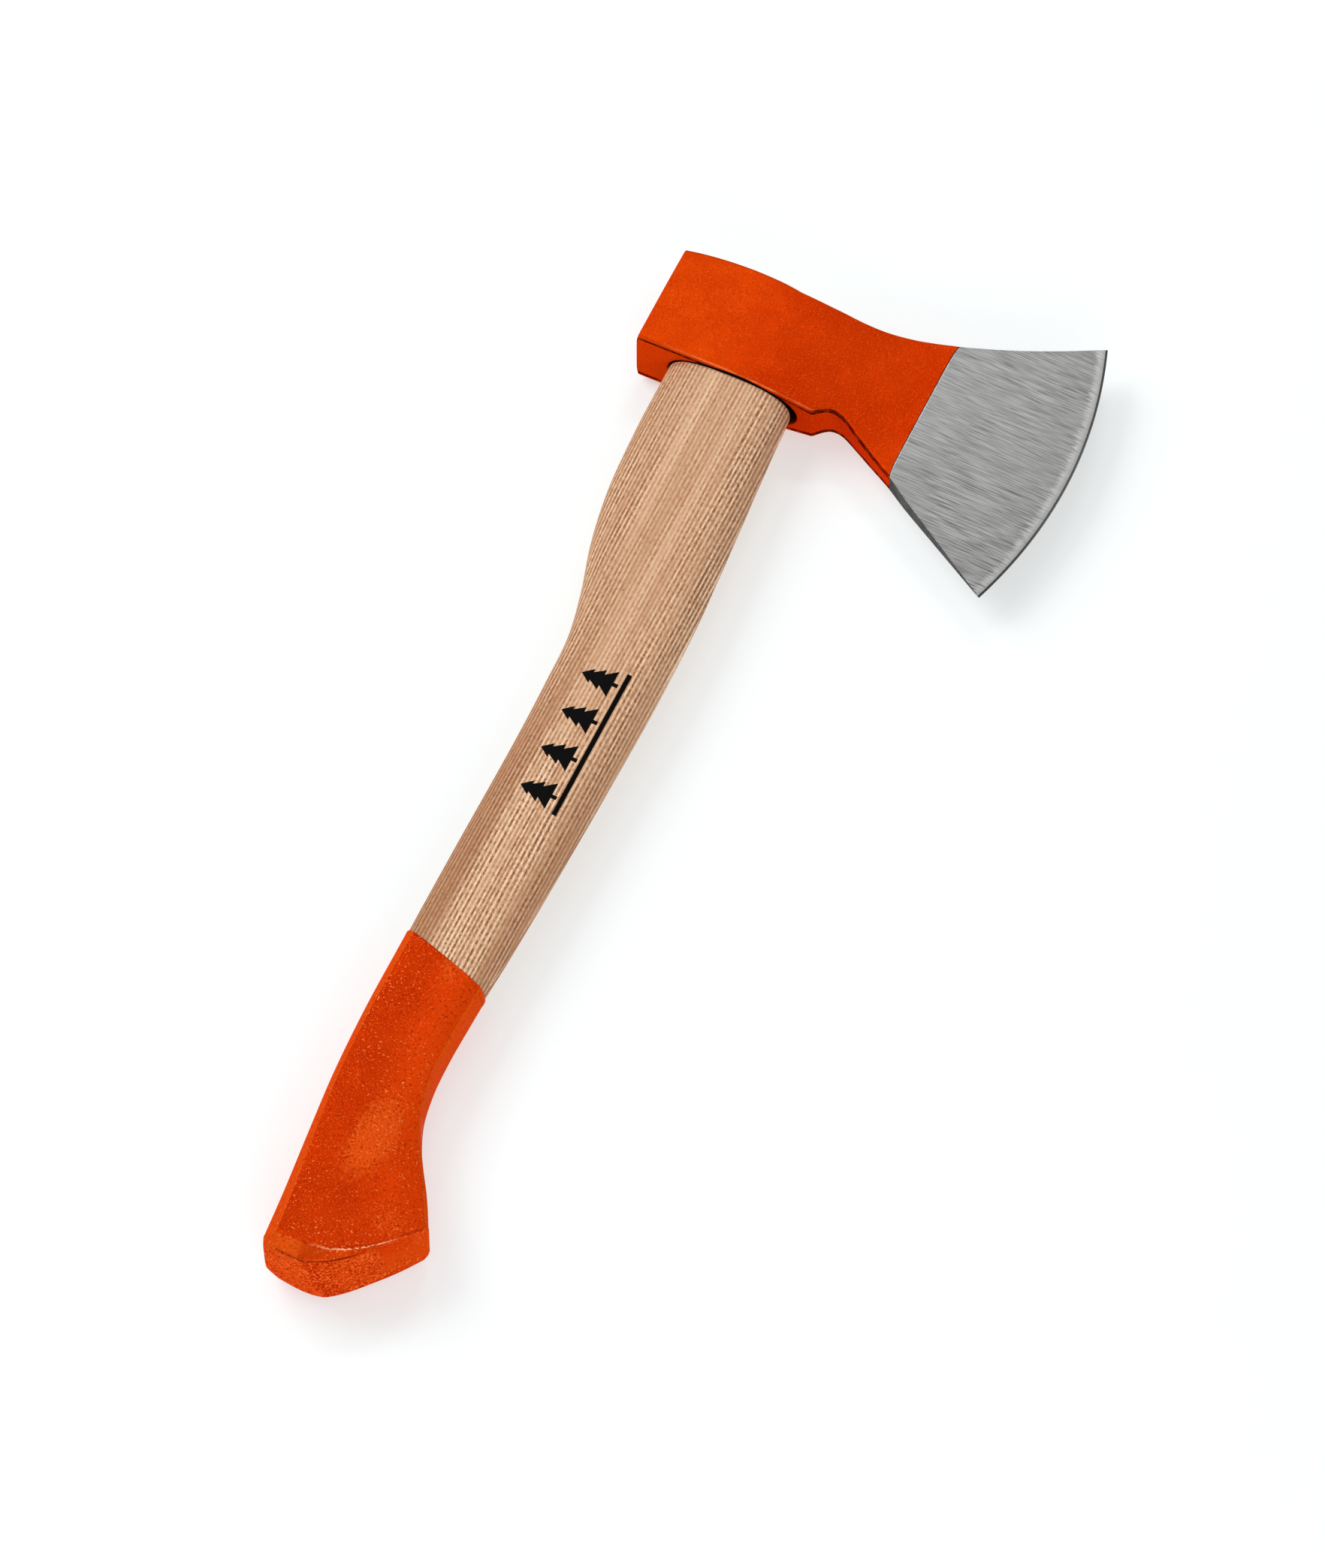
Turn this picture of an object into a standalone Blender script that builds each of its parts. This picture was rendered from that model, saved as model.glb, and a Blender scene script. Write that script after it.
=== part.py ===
"""Forestry hatchet: a forged head wedged on a wooden handle whose grip is dipped in paint.

It lies on its side. +X points to the cutting edge, +Y along the handle to the head, +Z is the thickness.
Shapes are drawn from the point where the eye's axis leaves the head's underside, at half thickness.
The empty "hatchet" then carries that point to its place, so that the origin is at the bottom centre.
"""

import math

import bmesh
import bpy
import numpy as np

# Metres in a millimetre, and the clearance in millimetres between two pieces.
MM = 0.001
GAP = 0.3

# Head: side view, in millimetres from the eye's axis and the head's underside.
POLL_X = -35.0
POLL_CORNER_X = -33.9
POLL_FLAT_HALF = 8.0
POLL_TOP_Y = 37.4
CROWN_TOP_Y = 39.4
LUG_X = 29.8
HEEL = (106.9, 68.5)
EDGE_MIDDLE = (116.0, 12.8)
TOE = (107.8, -37.5)
HOLLOW = (36.0, 3.9)
BEARD_X = 47.0
BEARD_SLOPE = -0.6
GRIND_X = 61.8
GRIND_TOP_Y = 46.6

# Head: where each curve of the outline is pulled to, from the poll round to the lug.
POLL_PULLS = ((-22.0, 40.6), (-6.0, 40.9))
CROWN_X = (8.0, 30.0)
NECK_PULLS = ((42.0, CROWN_TOP_Y), (52.0, 43.2))
BIT_PULLS = ((76.0, 51.2), (92.0, 59.5))
BEARD_PULL_X = 42.0
HOLLOW_PULLS_X = (39.5, 33.5)
LUG_PULL = (31.5, 1.6)
CURVE_STEPS = 6

# Head: thickness.
POLL_HALF = 12.8
BIT_HALF = 4.4
TAPER_START_X = -5.0
TAPER_END_X = 66.0
TAPER_STEPS = 14
FORGED_RADIUS = 1.2
FORGED_EDGE_ANGLE = math.radians(50)
EDGE_BEVEL = 4.0
EDGE_BEVEL_HALF = 0.7
EDGE_LAND_HALF = 0.1
GRIND_SLOPE = 0.069
GRIND_STEPS = 200

# Eye and tenon: half length and half width of the tenon at each height, flared by the wedges.
TENON_TOP_Y = 40.3
TENON_LEVELS = (
    (-0.3, 19.0, 8.8), (12.0, 18.6, 8.5), (24.0, 18.9, 8.8), (34.0, 19.8, 9.6), (TENON_TOP_Y, 20.3, 10.0),
)
TENON_ROUNDNESS = 2.2
EYE_PAST = 6.0

# Handle: height and inset of the shoulder, then x of the back and of the front down the handle.
SHOULDER = ((-0.3, 1.3), (-0.7, 0.5), (-1.6, 0.0))
BACK = (
    (1.0, -22.2), (-31.0, -21.7), (-55.0, -19.9), (-75.0, -16.2), (-92.0, -11.4), (-109.0, -7.8),
    (-130.0, -6.8), (-200.0, -6.6), (-240.0, -6.6), (-265.0, -6.4), (-290.0, -5.2), (-315.0, -2.7),
    (-335.0, -0.6), (-360.0, 1.5),
)
FRONT = (
    (1.0, 22.0), (-20.0, 23.3), (-53.0, 25.9), (-85.0, 28.1), (-117.0, 28.8), (-150.0, 28.4),
    (-187.0, 27.6), (-230.0, 26.0), (-252.0, 24.8), (-267.0, 24.3), (-280.0, 24.9), (-291.0, 27.0),
    (-301.0, 31.3), (-310.0, 36.4), (-319.0, 42.0), (-329.0, 47.2), (-340.0, 50.2),
)
HALF_THICKNESS = (
    (1.0, 10.7), (-60.0, 11.0), (-120.0, 11.4), (-200.0, 11.2), (-250.0, 11.0), (-290.0, 12.0),
    (-320.0, 14.0), (-360.0, 15.0),
)
ROUNDNESS = ((1.0, 2.5), (-120.0, 2.7), (-200.0, 2.9), (-260.0, 4.0), (-310.0, 6.0), (-360.0, 8.0))

# Grip: the dip line slopes down to the front and to the upper side, and the knob's end slopes up.
# Both are given at the back and at the front.
DIP_Y = (-232.0, -241.8)
DIP_LEAN = -0.2
KNOB_Y = (-354.5, -331.0)
KNOB_CROWN = 9.5
END_CHAMFER = 3.4
END_INSET = 2.2
END_CROWN = 10.0
CROWN_SKEW = 1.2
COAT = 0.7
COAT_STEP = 0.4

# Wedges, driven from the top of the tenon. The kerf is longer than the tenon, so that it opens at both ends.
WOOD_WEDGE_LENGTH = 36.0
WOOD_WEDGE_DEPTH = 29.0
KERF_LENGTH = 60.0
WOOD_WEDGE_HALF = (0.7, 2.2)
STEEL_WEDGE_DEPTH = 22.0
STEEL_WEDGE_WIDTH = 13.0
STEEL_WEDGE_HALF = (0.5, 1.5)
STEEL_WEDGE_X = (-9.5, 9.5)
WEDGE_RECESS = 0.4
SLOT_PAST = 5.0

# Reach of the whole, from which the place of the origin follows.
KNOB_END_Y = -357.9
REST_HALF = 14.83
CENTRE = ((POLL_X + EDGE_MIDDLE[0]) / 2, (HEEL[1] + KNOB_END_Y) / 2)

# Fineness of the skins, and the angles that stay sharp or count as straight.
RING_POINTS = 32
SHAFT_STEPS = 18
GRIP_STEPS = 16
SHARP_ANGLE = math.radians(35)
STRAIGHT_ANGLE = math.radians(0.5)
MERGE_DISTANCE = 0.001 * MM

# Raw shapes that are cut to each other: how far each reaches past the head, and its half depth.
BIT_PAST = 6.0
OUTLINE_HALF = 30.0
PLAN_PAST = 12.0
PLAN_HALF = 90.0
BLOCK_PAST = 24.0
BLOCK_HALF = 12.0


def clear_scene():
    for thing in list(bpy.data.objects):
        bpy.data.objects.remove(thing)


def make_collection(name):
    collection = bpy.data.collections.new(name)
    bpy.context.scene.collection.children.link(collection)
    return collection


def material(name, colour, roughness, metallic=0.0):
    made = bpy.data.materials.new(name)
    made.use_nodes = True
    shader = made.node_tree.nodes["Principled BSDF"]
    shader.inputs["Base Color"].default_value = (*colour, 1.0)
    shader.inputs["Roughness"].default_value = roughness
    shader.inputs["Metallic"].default_value = metallic
    made.diffuse_color = (*colour, 1.0)
    return made


def curve_between(table, y):
    """Value at y of the smooth cubic through a table's (y, value) pairs, whose y runs downwards."""
    knots = np.array(table)[::-1]
    slopes = np.gradient(knots[:, 1], knots[:, 0])
    y = min(max(y, knots[0, 0]), knots[-1, 0])
    place = min(max(int(np.searchsorted(knots[:, 0], y)) - 1, 0), len(knots) - 2)
    low, high = knots[place], knots[place + 1]
    span = high[0] - low[0]
    t = (y - low[0]) / span
    start = (1 + 2 * t) * (1 - t) ** 2 * low[1] + t * (1 - t) ** 2 * span * slopes[place]
    end = t**2 * (3 - 2 * t) * high[1] + t**2 * (t - 1) * span * slopes[place + 1]
    return float(start + end)


def bezier(*corners):
    """Points of the cubic curve from the first to the last of four corners, without its end."""
    points = []
    for step in range(CURVE_STEPS):
        t = step / CURVE_STEPS
        weights = ((1 - t) ** 3, 3 * t * (1 - t) ** 2, 3 * t**2 * (1 - t), t**3)
        points.append(tuple(sum(w * corner[k] for w, corner in zip(weights, corners)) for k in (0, 1)))
    return points


def new_object(name, mesh, collection, parent, finish=None):
    made = bpy.data.objects.new(name, mesh)
    collection.objects.link(made)
    made.parent = parent
    if finish:
        mesh.materials.append(finish)
    return made


def make_cutter(made):
    made.hide_render = True
    made.display_type = "WIRE"
    return made


def boolean(target, cutter, operation):
    modifier = target.modifiers.new(f"{operation.lower()}_{cutter.name}", "BOOLEAN")
    modifier.operation = operation
    modifier.object = cutter
    modifier.solver = "EXACT"


def outline_solid(name, points, half, collection, parent, finish=None):
    """A flat outline in millimetres, extruded by half to each side of its plane."""
    curve = bpy.data.curves.new(name, "CURVE")
    curve.dimensions = "2D"
    curve.fill_mode = "BOTH"
    curve.extrude = half * MM
    spline = curve.splines.new("POLY")
    spline.points.add(len(points) - 1)
    for place, (x, y) in zip(spline.points, points):
        place.co = (x * MM, y * MM, 0.0, 1.0)
    spline.use_cyclic_u = True
    drawn = bpy.data.objects.new(name + "_outline", curve)
    collection.objects.link(drawn)
    bpy.context.view_layer.update()
    evaluated = drawn.evaluated_get(bpy.context.evaluated_depsgraph_get())
    mesh = bpy.data.meshes.new_from_object(evaluated)
    bpy.data.objects.remove(drawn)
    shape = bmesh.new()
    shape.from_mesh(mesh)
    bmesh.ops.remove_doubles(shape, verts=shape.verts, dist=MERGE_DISTANCE)
    bmesh.ops.dissolve_limit(shape, angle_limit=STRAIGHT_ANGLE, verts=shape.verts, edges=shape.edges)
    bmesh.ops.recalc_face_normals(shape, faces=shape.faces)
    shape.to_mesh(mesh)
    shape.free()
    return new_object(name, mesh, collection, parent, finish)


def loft(name, rings, collection, parent, finish=None):
    """A closed skin over rings of points in millimetres, capped at both ends.

    Each ring starts at its greatest x and is mirrored in Z, so that a cap's faces run straight across it.
    """
    shape = bmesh.new()
    count = len(rings[0])
    rows = [[shape.verts.new([value * MM for value in point]) for point in ring] for ring in rings]
    for upper, lower in zip(rows, rows[1:]):
        for step in range(count):
            following = (step + 1) % count
            shape.faces.new((upper[step], upper[following], lower[following], lower[step]))
    for row in (rows[0], rows[-1]):
        shape.faces.new((row[0], row[1], row[-1]))
        for step in range(1, count // 2 - 1):
            shape.faces.new((row[step], row[step + 1], row[-step - 1], row[-step]))
        middle = count // 2
        shape.faces.new((row[middle - 1], row[middle], row[middle + 1]))
    bmesh.ops.recalc_face_normals(shape, faces=shape.faces)
    mesh = bpy.data.meshes.new(name)
    shape.to_mesh(mesh)
    shape.free()
    mesh.shade_smooth()
    mesh.set_sharp_from_angle(angle=SHARP_ANGLE)
    return new_object(name, mesh, collection, parent, finish)


def rounded(step, roundness):
    """One point of a rounded outline of half size 1: 2 is an ellipse, and more is nearer a rectangle."""
    angle = math.tau * step / RING_POINTS
    across, up = math.cos(angle), math.sin(angle)
    power = 2.0 / roundness
    return math.copysign(abs(across) ** power, across), math.copysign(abs(up) ** power, up)


def tenon_ring(y, half_length, half_width, grow=0.0):
    ring = []
    for step in range(RING_POINTS):
        across, up = rounded(step, TENON_ROUNDNESS)
        ring.append((across * (half_length + grow), y, up * (half_width + grow)))
    return ring


def handle_ring(back_y, front_y, crown=0.0, inset=0.0, drop=0.0, lean=0.0):
    """The handle's outline on a surface from back_y to front_y that bulges down by crown and leans in Z."""
    back_x = curve_between(BACK, back_y) + inset
    front_x = curve_between(FRONT, front_y) - inset
    ring = []
    for step in range(RING_POINTS):
        across, up = rounded(step, curve_between(ROUNDNESS, (back_y + front_y) / 2))
        share = (across + 1) / 2
        y = back_y + (front_y - back_y) * share - crown * math.sin(math.pi * share**CROWN_SKEW)
        z = up * (curve_between(HALF_THICKNESS, y) - inset)
        ring.append((back_x + (front_x - back_x) * share, y - drop + lean * z, z))
    return ring


def stations(start, end, count):
    """Evenly spaced (back_y, front_y, share) from start to end, ends included."""
    shares = [step / count for step in range(count + 1)]
    return [(start[0] + (end[0] - start[0]) * s, start[1] + (end[1] - start[1]) * s, s) for s in shares]


def grip_rings(inset, first_drop=0.0):
    """Rings from the dip line to the edge of the knob's end, all set in by the same amount."""
    rings = []
    for back_y, front_y, share in stations(DIP_Y, KNOB_Y, GRIP_STEPS):
        drop = first_drop if share == 0 else -inset * share
        lean = DIP_LEAN * (1 - share) ** 2
        rings.append(handle_ring(back_y, front_y, KNOB_CROWN * share**2, inset, drop, lean))
    end = handle_ring(*KNOB_Y, END_CROWN, inset + END_INSET, END_CHAMFER - inset)
    return rings + [end]


def wedge(name, length, taper, depth, collection, parent, grow=0.0, finish=None, crosswise=False):
    """A wedge driven down from the tenon's top; taper is its half thickness (tip, head).

    With grow it is the cutter of its slot, larger by that much all round and open above the tenon.
    """
    shape = bmesh.new()
    bmesh.ops.create_cube(shape, size=2.0)
    head_y = TENON_TOP_Y + (SLOT_PAST if grow else -WEDGE_RECESS)
    tip_y = TENON_TOP_Y - depth - grow
    for vert in shape.verts:
        at_head = vert.co.y > 0
        thickness = (taper[1] if at_head else taper[0]) + grow
        vert.co.x *= length / 2 + grow
        vert.co.z *= thickness
        vert.co.y = head_y if at_head else tip_y
        if crosswise:
            vert.co.x, vert.co.z = vert.co.z, -vert.co.x
        vert.co *= MM
    bmesh.ops.recalc_face_normals(shape, faces=shape.faces)
    mesh = bpy.data.meshes.new(name)
    shape.to_mesh(mesh)
    shape.free()
    return new_object(name, mesh, collection, parent, finish)


def edge_circle():
    """Centre and radius of the arc through the heel, the middle of the edge and the toe."""
    (ax, ay), (bx, by), (cx, cy) = HEEL, EDGE_MIDDLE, TOE
    sides = np.array([[bx - ax, by - ay], [cx - bx, cy - by]])
    sums = [(bx**2 - ax**2 + by**2 - ay**2) / 2, (cx**2 - bx**2 + cy**2 - by**2) / 2]
    centre = np.linalg.solve(sides, sums)
    return centre, math.dist(centre, EDGE_MIDDLE)


def head_outline():
    """Side view of the forging, with the bit left long for the grinding to cut to its arc."""
    past_x = EDGE_MIDDLE[0] + BIT_PAST
    crown_start, crown_end = ((x, CROWN_TOP_Y) for x in CROWN_X)
    grind_top = (GRIND_X, GRIND_TOP_Y)
    last_pull = BIT_PULLS[1]
    top_slope = (HEEL[1] - last_pull[1]) / (HEEL[0] - last_pull[0])
    beard = (BEARD_X, TOE[1] + BEARD_SLOPE * (BEARD_X - TOE[0]))
    beard_pull = (BEARD_PULL_X, beard[1] - BEARD_SLOPE * (BEARD_X - BEARD_PULL_X))
    hollow_pulls = [(x, HOLLOW[1]) for x in HOLLOW_PULLS_X]
    lug = (LUG_X, 0.0)
    return [
        *bezier((POLL_X, POLL_TOP_Y), *POLL_PULLS, crown_start),
        crown_start,
        *bezier(crown_end, *NECK_PULLS, grind_top),
        *bezier(grind_top, *BIT_PULLS, HEEL),
        HEEL,
        (past_x, HEEL[1] + top_slope * (past_x - HEEL[0])),
        (past_x, TOE[1] + BEARD_SLOPE * (past_x - TOE[0])),
        *bezier(beard, beard_pull, hollow_pulls[0], HOLLOW),
        *bezier(HOLLOW, hollow_pulls[1], LUG_PULL, lug),
        lug,
        (POLL_X, 0.0),
    ]


def plan_outline():
    """Top view of the forging: parallel at poll and eye, then a smooth taper to the bit."""
    side = [(POLL_X - PLAN_PAST, POLL_FLAT_HALF), (POLL_X, POLL_FLAT_HALF), (POLL_CORNER_X, POLL_HALF)]
    for step in range(TAPER_STEPS + 1):
        share = step / TAPER_STEPS
        blend = share * share * (3 - 2 * share)
        x = TAPER_START_X + (TAPER_END_X - TAPER_START_X) * share
        side.append((x, POLL_HALF + (BIT_HALF - POLL_HALF) * blend))
    side.append((EDGE_MIDDLE[0] + PLAN_PAST, BIT_HALF))
    return side + [(x, -half) for x, half in reversed(side)]


def make_ground_cheeks(cutters, parent):
    """The bit's ground shape, a flat double cone about the centre of the edge's arc."""
    centre, radius = edge_circle()
    shoulder = radius - EDGE_BEVEL
    rise = EDGE_BEVEL_HALF + GRIND_SLOPE * shoulder
    half_profile = [(0.0, rise), (shoulder, EDGE_BEVEL_HALF), (radius, EDGE_LAND_HALF)]
    profile = half_profile + [(r, -z) for r, z in reversed(half_profile)]
    mesh = bpy.data.meshes.new("ground_cheeks")
    points = [(r * MM, 0.0, z * MM) for r, z in profile]
    mesh.from_pydata(points, [(k, k + 1) for k in range(len(points) - 1)], [])
    cheeks = make_cutter(new_object("ground_cheeks", mesh, cutters, parent))
    cheeks.location = (centre[0] * MM, centre[1] * MM, 0.0)
    screw = cheeks.modifiers.new("turn", "SCREW")
    screw.steps = GRIND_STEPS
    screw.render_steps = GRIND_STEPS
    screw.use_merge_vertices = True
    screw.merge_threshold = MERGE_DISTANCE
    return cheeks


def make_grinding(cutters, parent):
    """What the grinding takes off the forging beyond its paint: a block less the ground cheeks."""
    end_x = EDGE_MIDDLE[0] + BLOCK_PAST
    low_y, high_y = TOE[1] - BLOCK_PAST, HEEL[1] + BLOCK_PAST
    block = [(GRIND_X, low_y), (end_x, low_y), (end_x, high_y), (GRIND_X, high_y)]
    grinding = make_cutter(outline_solid("grinding", block, BLOCK_HALF, cutters, parent))
    boolean(grinding, make_ground_cheeks(cutters, parent), "DIFFERENCE")
    return grinding


def make_head(parts, cutters, parent, finish):
    head = outline_solid("axe_head", head_outline(), OUTLINE_HALF, parts, parent, finish)
    plan = make_cutter(outline_solid("plan_shape", plan_outline(), PLAN_HALF, cutters, parent))
    plan.rotation_euler.x = math.pi / 2
    boolean(head, plan, "INTERSECT")
    bevel = head.modifiers.new("forged_edges", "BEVEL")
    bevel.width = FORGED_RADIUS * MM
    bevel.segments = 2
    bevel.limit_method = "ANGLE"
    bevel.angle_limit = FORGED_EDGE_ANGLE
    boolean(head, make_grinding(cutters, parent), "DIFFERENCE")

    bottom, top = TENON_LEVELS[0], TENON_LEVELS[-1]
    levels = [(bottom[0] - EYE_PAST, *bottom[1:]), *TENON_LEVELS, (top[0] + EYE_PAST, *top[1:])]
    eye = loft("eye", [tenon_ring(*level, GAP) for level in reversed(levels)], cutters, parent)
    boolean(head, make_cutter(eye), "DIFFERENCE")
    return head


def make_handle(parts, parent, finish):
    rings = [tenon_ring(*level) for level in reversed(TENON_LEVELS)]
    rings += [handle_ring(y, y, inset=inset) for y, inset in SHOULDER]
    top = SHOULDER[-1][0]
    for back_y, front_y, share in stations((top, top), DIP_Y, SHAFT_STEPS)[1:]:
        rings.append(handle_ring(back_y, front_y, inset=COAT_STEP * share**4, lean=DIP_LEAN * share**2))
    rings += grip_rings(COAT + GAP)
    return loft("handle", rings, parts, parent, finish)


def make_coating(parts, parent, finish):
    inside = grip_rings(COAT, GAP)[::-1]
    return loft("grip_coating", inside + grip_rings(0.0, GAP), parts, parent, finish)


def make_wedges(handle, parts, cutters, parent, wood, steel):
    wood_size = {"taper": WOOD_WEDGE_HALF, "depth": WOOD_WEDGE_DEPTH}
    kerf = wedge("kerf", KERF_LENGTH, **wood_size, grow=GAP, collection=cutters, parent=parent)
    boolean(handle, make_cutter(kerf), "DIFFERENCE")
    wooden = wedge(
        "wooden_wedge", WOOD_WEDGE_LENGTH, **wood_size, collection=parts, parent=parent, finish=wood
    )
    steel_size = {
        "length": STEEL_WEDGE_WIDTH, "taper": STEEL_WEDGE_HALF, "depth": STEEL_WEDGE_DEPTH, "crosswise": True,
    }
    for end, x in zip(("rear", "front"), STEEL_WEDGE_X):
        driven = wedge(f"steel_wedge_{end}", **steel_size, collection=parts, parent=parent, finish=steel)
        slot = wedge(f"slot_{end}", **steel_size, grow=GAP, collection=cutters, parent=parent)
        for piece in (driven, slot):
            piece.location.x = x * MM
        make_cutter(slot)
        for cut in (handle, wooden):
            boolean(cut, slot, "DIFFERENCE")


def main():
    clear_scene()
    parts = make_collection("forestry_hatchet")
    cutters = make_collection("cutters")
    hatchet = bpy.data.objects.new("hatchet", None)
    parts.objects.link(hatchet)
    hatchet.location = (-CENTRE[0] * MM, -CENTRE[1] * MM, REST_HALF * MM)

    painted_steel = material("orange_paint_on_steel", (0.645, 0.045, 0.003), 0.45)
    beech = material("beech", (0.62, 0.38, 0.22), 0.6)
    wedge_wood = material("wedge_wood", (0.45, 0.27, 0.15), 0.7)
    steel = material("steel", (0.35, 0.35, 0.34), 0.4, 1.0)
    dip_paint = material("orange_dip_paint", (0.62, 0.04, 0.003), 0.4)

    make_head(parts, cutters, hatchet, painted_steel)
    handle = make_handle(parts, hatchet, beech)
    make_wedges(handle, parts, cutters, hatchet, wedge_wood, steel)
    make_coating(parts, hatchet, dip_paint)


main()
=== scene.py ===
"""Looks for the forestry hatchet: fine meshes, materials, floor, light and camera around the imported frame.

Shapes are drawn in millimetres from the point where the eye's axis leaves the head's underside, at half
thickness: +X to the cutting edge, +Y up the handle to the head, +Z the thickness. ORIGIN carries that point
to its place in the frame, in metres.
"""

import functools
import math

import bmesh
import bpy
import numpy as np
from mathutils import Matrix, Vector, noise
from mathutils.bvhtree import BVHTree


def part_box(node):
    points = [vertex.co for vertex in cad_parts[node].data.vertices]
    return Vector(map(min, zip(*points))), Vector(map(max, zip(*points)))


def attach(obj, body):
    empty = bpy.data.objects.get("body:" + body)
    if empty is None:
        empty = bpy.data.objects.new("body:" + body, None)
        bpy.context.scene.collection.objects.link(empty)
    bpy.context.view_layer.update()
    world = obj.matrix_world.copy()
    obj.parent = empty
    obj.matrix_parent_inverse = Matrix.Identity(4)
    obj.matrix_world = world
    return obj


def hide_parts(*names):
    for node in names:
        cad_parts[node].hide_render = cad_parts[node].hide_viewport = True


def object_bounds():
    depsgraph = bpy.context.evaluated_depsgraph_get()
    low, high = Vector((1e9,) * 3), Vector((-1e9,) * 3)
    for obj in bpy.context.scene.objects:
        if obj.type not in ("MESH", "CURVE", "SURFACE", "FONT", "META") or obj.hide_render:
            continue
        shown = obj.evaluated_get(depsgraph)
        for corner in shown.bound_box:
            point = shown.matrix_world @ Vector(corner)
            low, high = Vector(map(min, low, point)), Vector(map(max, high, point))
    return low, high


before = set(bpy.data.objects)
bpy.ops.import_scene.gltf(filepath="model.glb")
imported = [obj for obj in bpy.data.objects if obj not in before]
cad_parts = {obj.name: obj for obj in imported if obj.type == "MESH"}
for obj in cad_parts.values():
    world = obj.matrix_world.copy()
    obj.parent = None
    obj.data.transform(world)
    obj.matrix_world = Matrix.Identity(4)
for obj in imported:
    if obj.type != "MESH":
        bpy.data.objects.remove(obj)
cad_low, cad_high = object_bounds()

MM = 0.001

# Head, side view.
POLL_X = -35.0
POLL_FLAT_HALF = 8.0
POLL_TOP_Y = 37.4
CROWN_TOP_Y = 39.4
LUG_X = 29.8
HEEL = (106.9, 68.5)
EDGE_MIDDLE = (116.0, 12.8)
TOE = (107.8, -37.5)
HOLLOW = (36.0, 3.9)
BEARD_X = 47.0
BEARD_SLOPE = -0.6
GRIND_X = 61.8
GRIND_TOP_Y = 46.6

# Head, thickness.
POLL_HALF = 12.8
BIT_HALF = 4.4
TAPER_START_X = -5.0
TAPER_END_X = 66.0
EDGE_BEVEL = 4.0
EDGE_BEVEL_HALF = 0.7
EDGE_LAND_HALF = 0.1
GRIND_SLOPE = 0.069
FORGED_RADIUS = 1.15
GROUND_RADIUS = 0.16
GROUND_RADIUS_SHARE = 0.4
HONING_REACH = 1.7
HONED_WIDTH = 5.5
LINE_WIDTH = 0.28
GROUND_STOPS = np.concatenate([[0.003, 0.012], np.linspace(0.03, 0.9, 50), np.linspace(0.91, 1.0, 16)])

# Tenon and eye: height, half length, half width, and at the eye's mouth a shift forward. TENON_EDGE is the
# worn edge of the tenon's top, as (drop, inset), and EYE_RIM the oval in which the enamel is painted dark,
# as shade in the eye's mouth: shift, half length, half width.
TENON_TOP_Y = 40.3
TENON_LEVELS = (
    (-0.3, 19.0, 8.8), (12.0, 18.6, 8.5), (24.0, 18.9, 8.8), (34.0, 19.8, 9.6), (TENON_TOP_Y, 20.3, 10.0),
)
TENON_ROUNDNESS = 2.2
TENON_EDGE = ((0.0, 0.5), (0.15, 0.2), (0.5, 0.0))
EYE_POINTS = 144
EYE_TOP = (50.0, 21.2, 10.9)
EYE_RIM = (0.6, 24.3, 12.1)
EYE_MOUTH = (
    (-6.0, 24.7, 12.2, 0.9), (0.0, 23.8, 11.5, 0.6), (0.3, 23.5, 11.3, 0.6), (1.5, 23.3, 11.2, 0.6),
    (6.0, 22.4, 10.8, 0.5), (11.0, 18.9, 8.9, 0.1),
)

# Handle: x of its back and of its front, half thickness and squareness at some heights.
BACK = (
    (1.0, -22.2), (-31.0, -21.7), (-55.0, -19.9), (-75.0, -16.2), (-92.0, -11.4), (-109.0, -7.8),
    (-130.0, -6.8), (-200.0, -6.6), (-240.0, -6.6), (-265.0, -6.4), (-290.0, -5.2), (-315.0, -2.7),
    (-335.0, -0.6), (-360.0, 1.5),
)
FRONT = (
    (1.0, 22.0), (-20.0, 23.3), (-53.0, 25.9), (-85.0, 28.1), (-117.0, 28.8), (-150.0, 28.4),
    (-187.0, 27.6), (-230.0, 26.0), (-252.0, 24.8), (-267.0, 24.3), (-280.0, 24.9), (-291.0, 27.0),
    (-301.0, 31.3), (-310.0, 36.4), (-319.0, 42.0), (-329.0, 47.2), (-340.0, 50.2),
)
HALF_THICKNESS = (
    (1.0, 10.7), (-60.0, 11.0), (-120.0, 11.4), (-200.0, 11.2), (-250.0, 11.0), (-290.0, 12.0),
    (-320.0, 14.0), (-360.0, 15.0),
)
SQUARENESS = ((1.0, 2.5), (-120.0, 2.7), (-200.0, 2.9), (-260.0, 4.0), (-310.0, 5.0), (-360.0, 6.0))
FACETED = ((-180.0, 0.0), (-215.0, 0.12), (-240.0, 0.35), (-265.0, 0.8), (-300.0, 1.0), (-360.0, 1.0))

# Grip. DIP_LINE and KNOB_LINE are the y of the paint's start and of the knob's edge, at the back and at the
# front of the handle.
DIP_LINE = (-232.0, -241.8)
DIP_LEAN = -0.2
KNOB_LINE = (-354.5, -331.0)
KNOB_CROWN = 9.5
END_CHAMFER = 3.4
END_CROWN = 8.4
CROWN_SKEW = 1.2
COAT = 0.7
RIDGE_X = 20.5
RIDGE_RISE = 2.8
RIDGE_REACH = 17.0
RIDGE_SLANT = 0.3
FRONT_ROUNDING = 0.6

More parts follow.
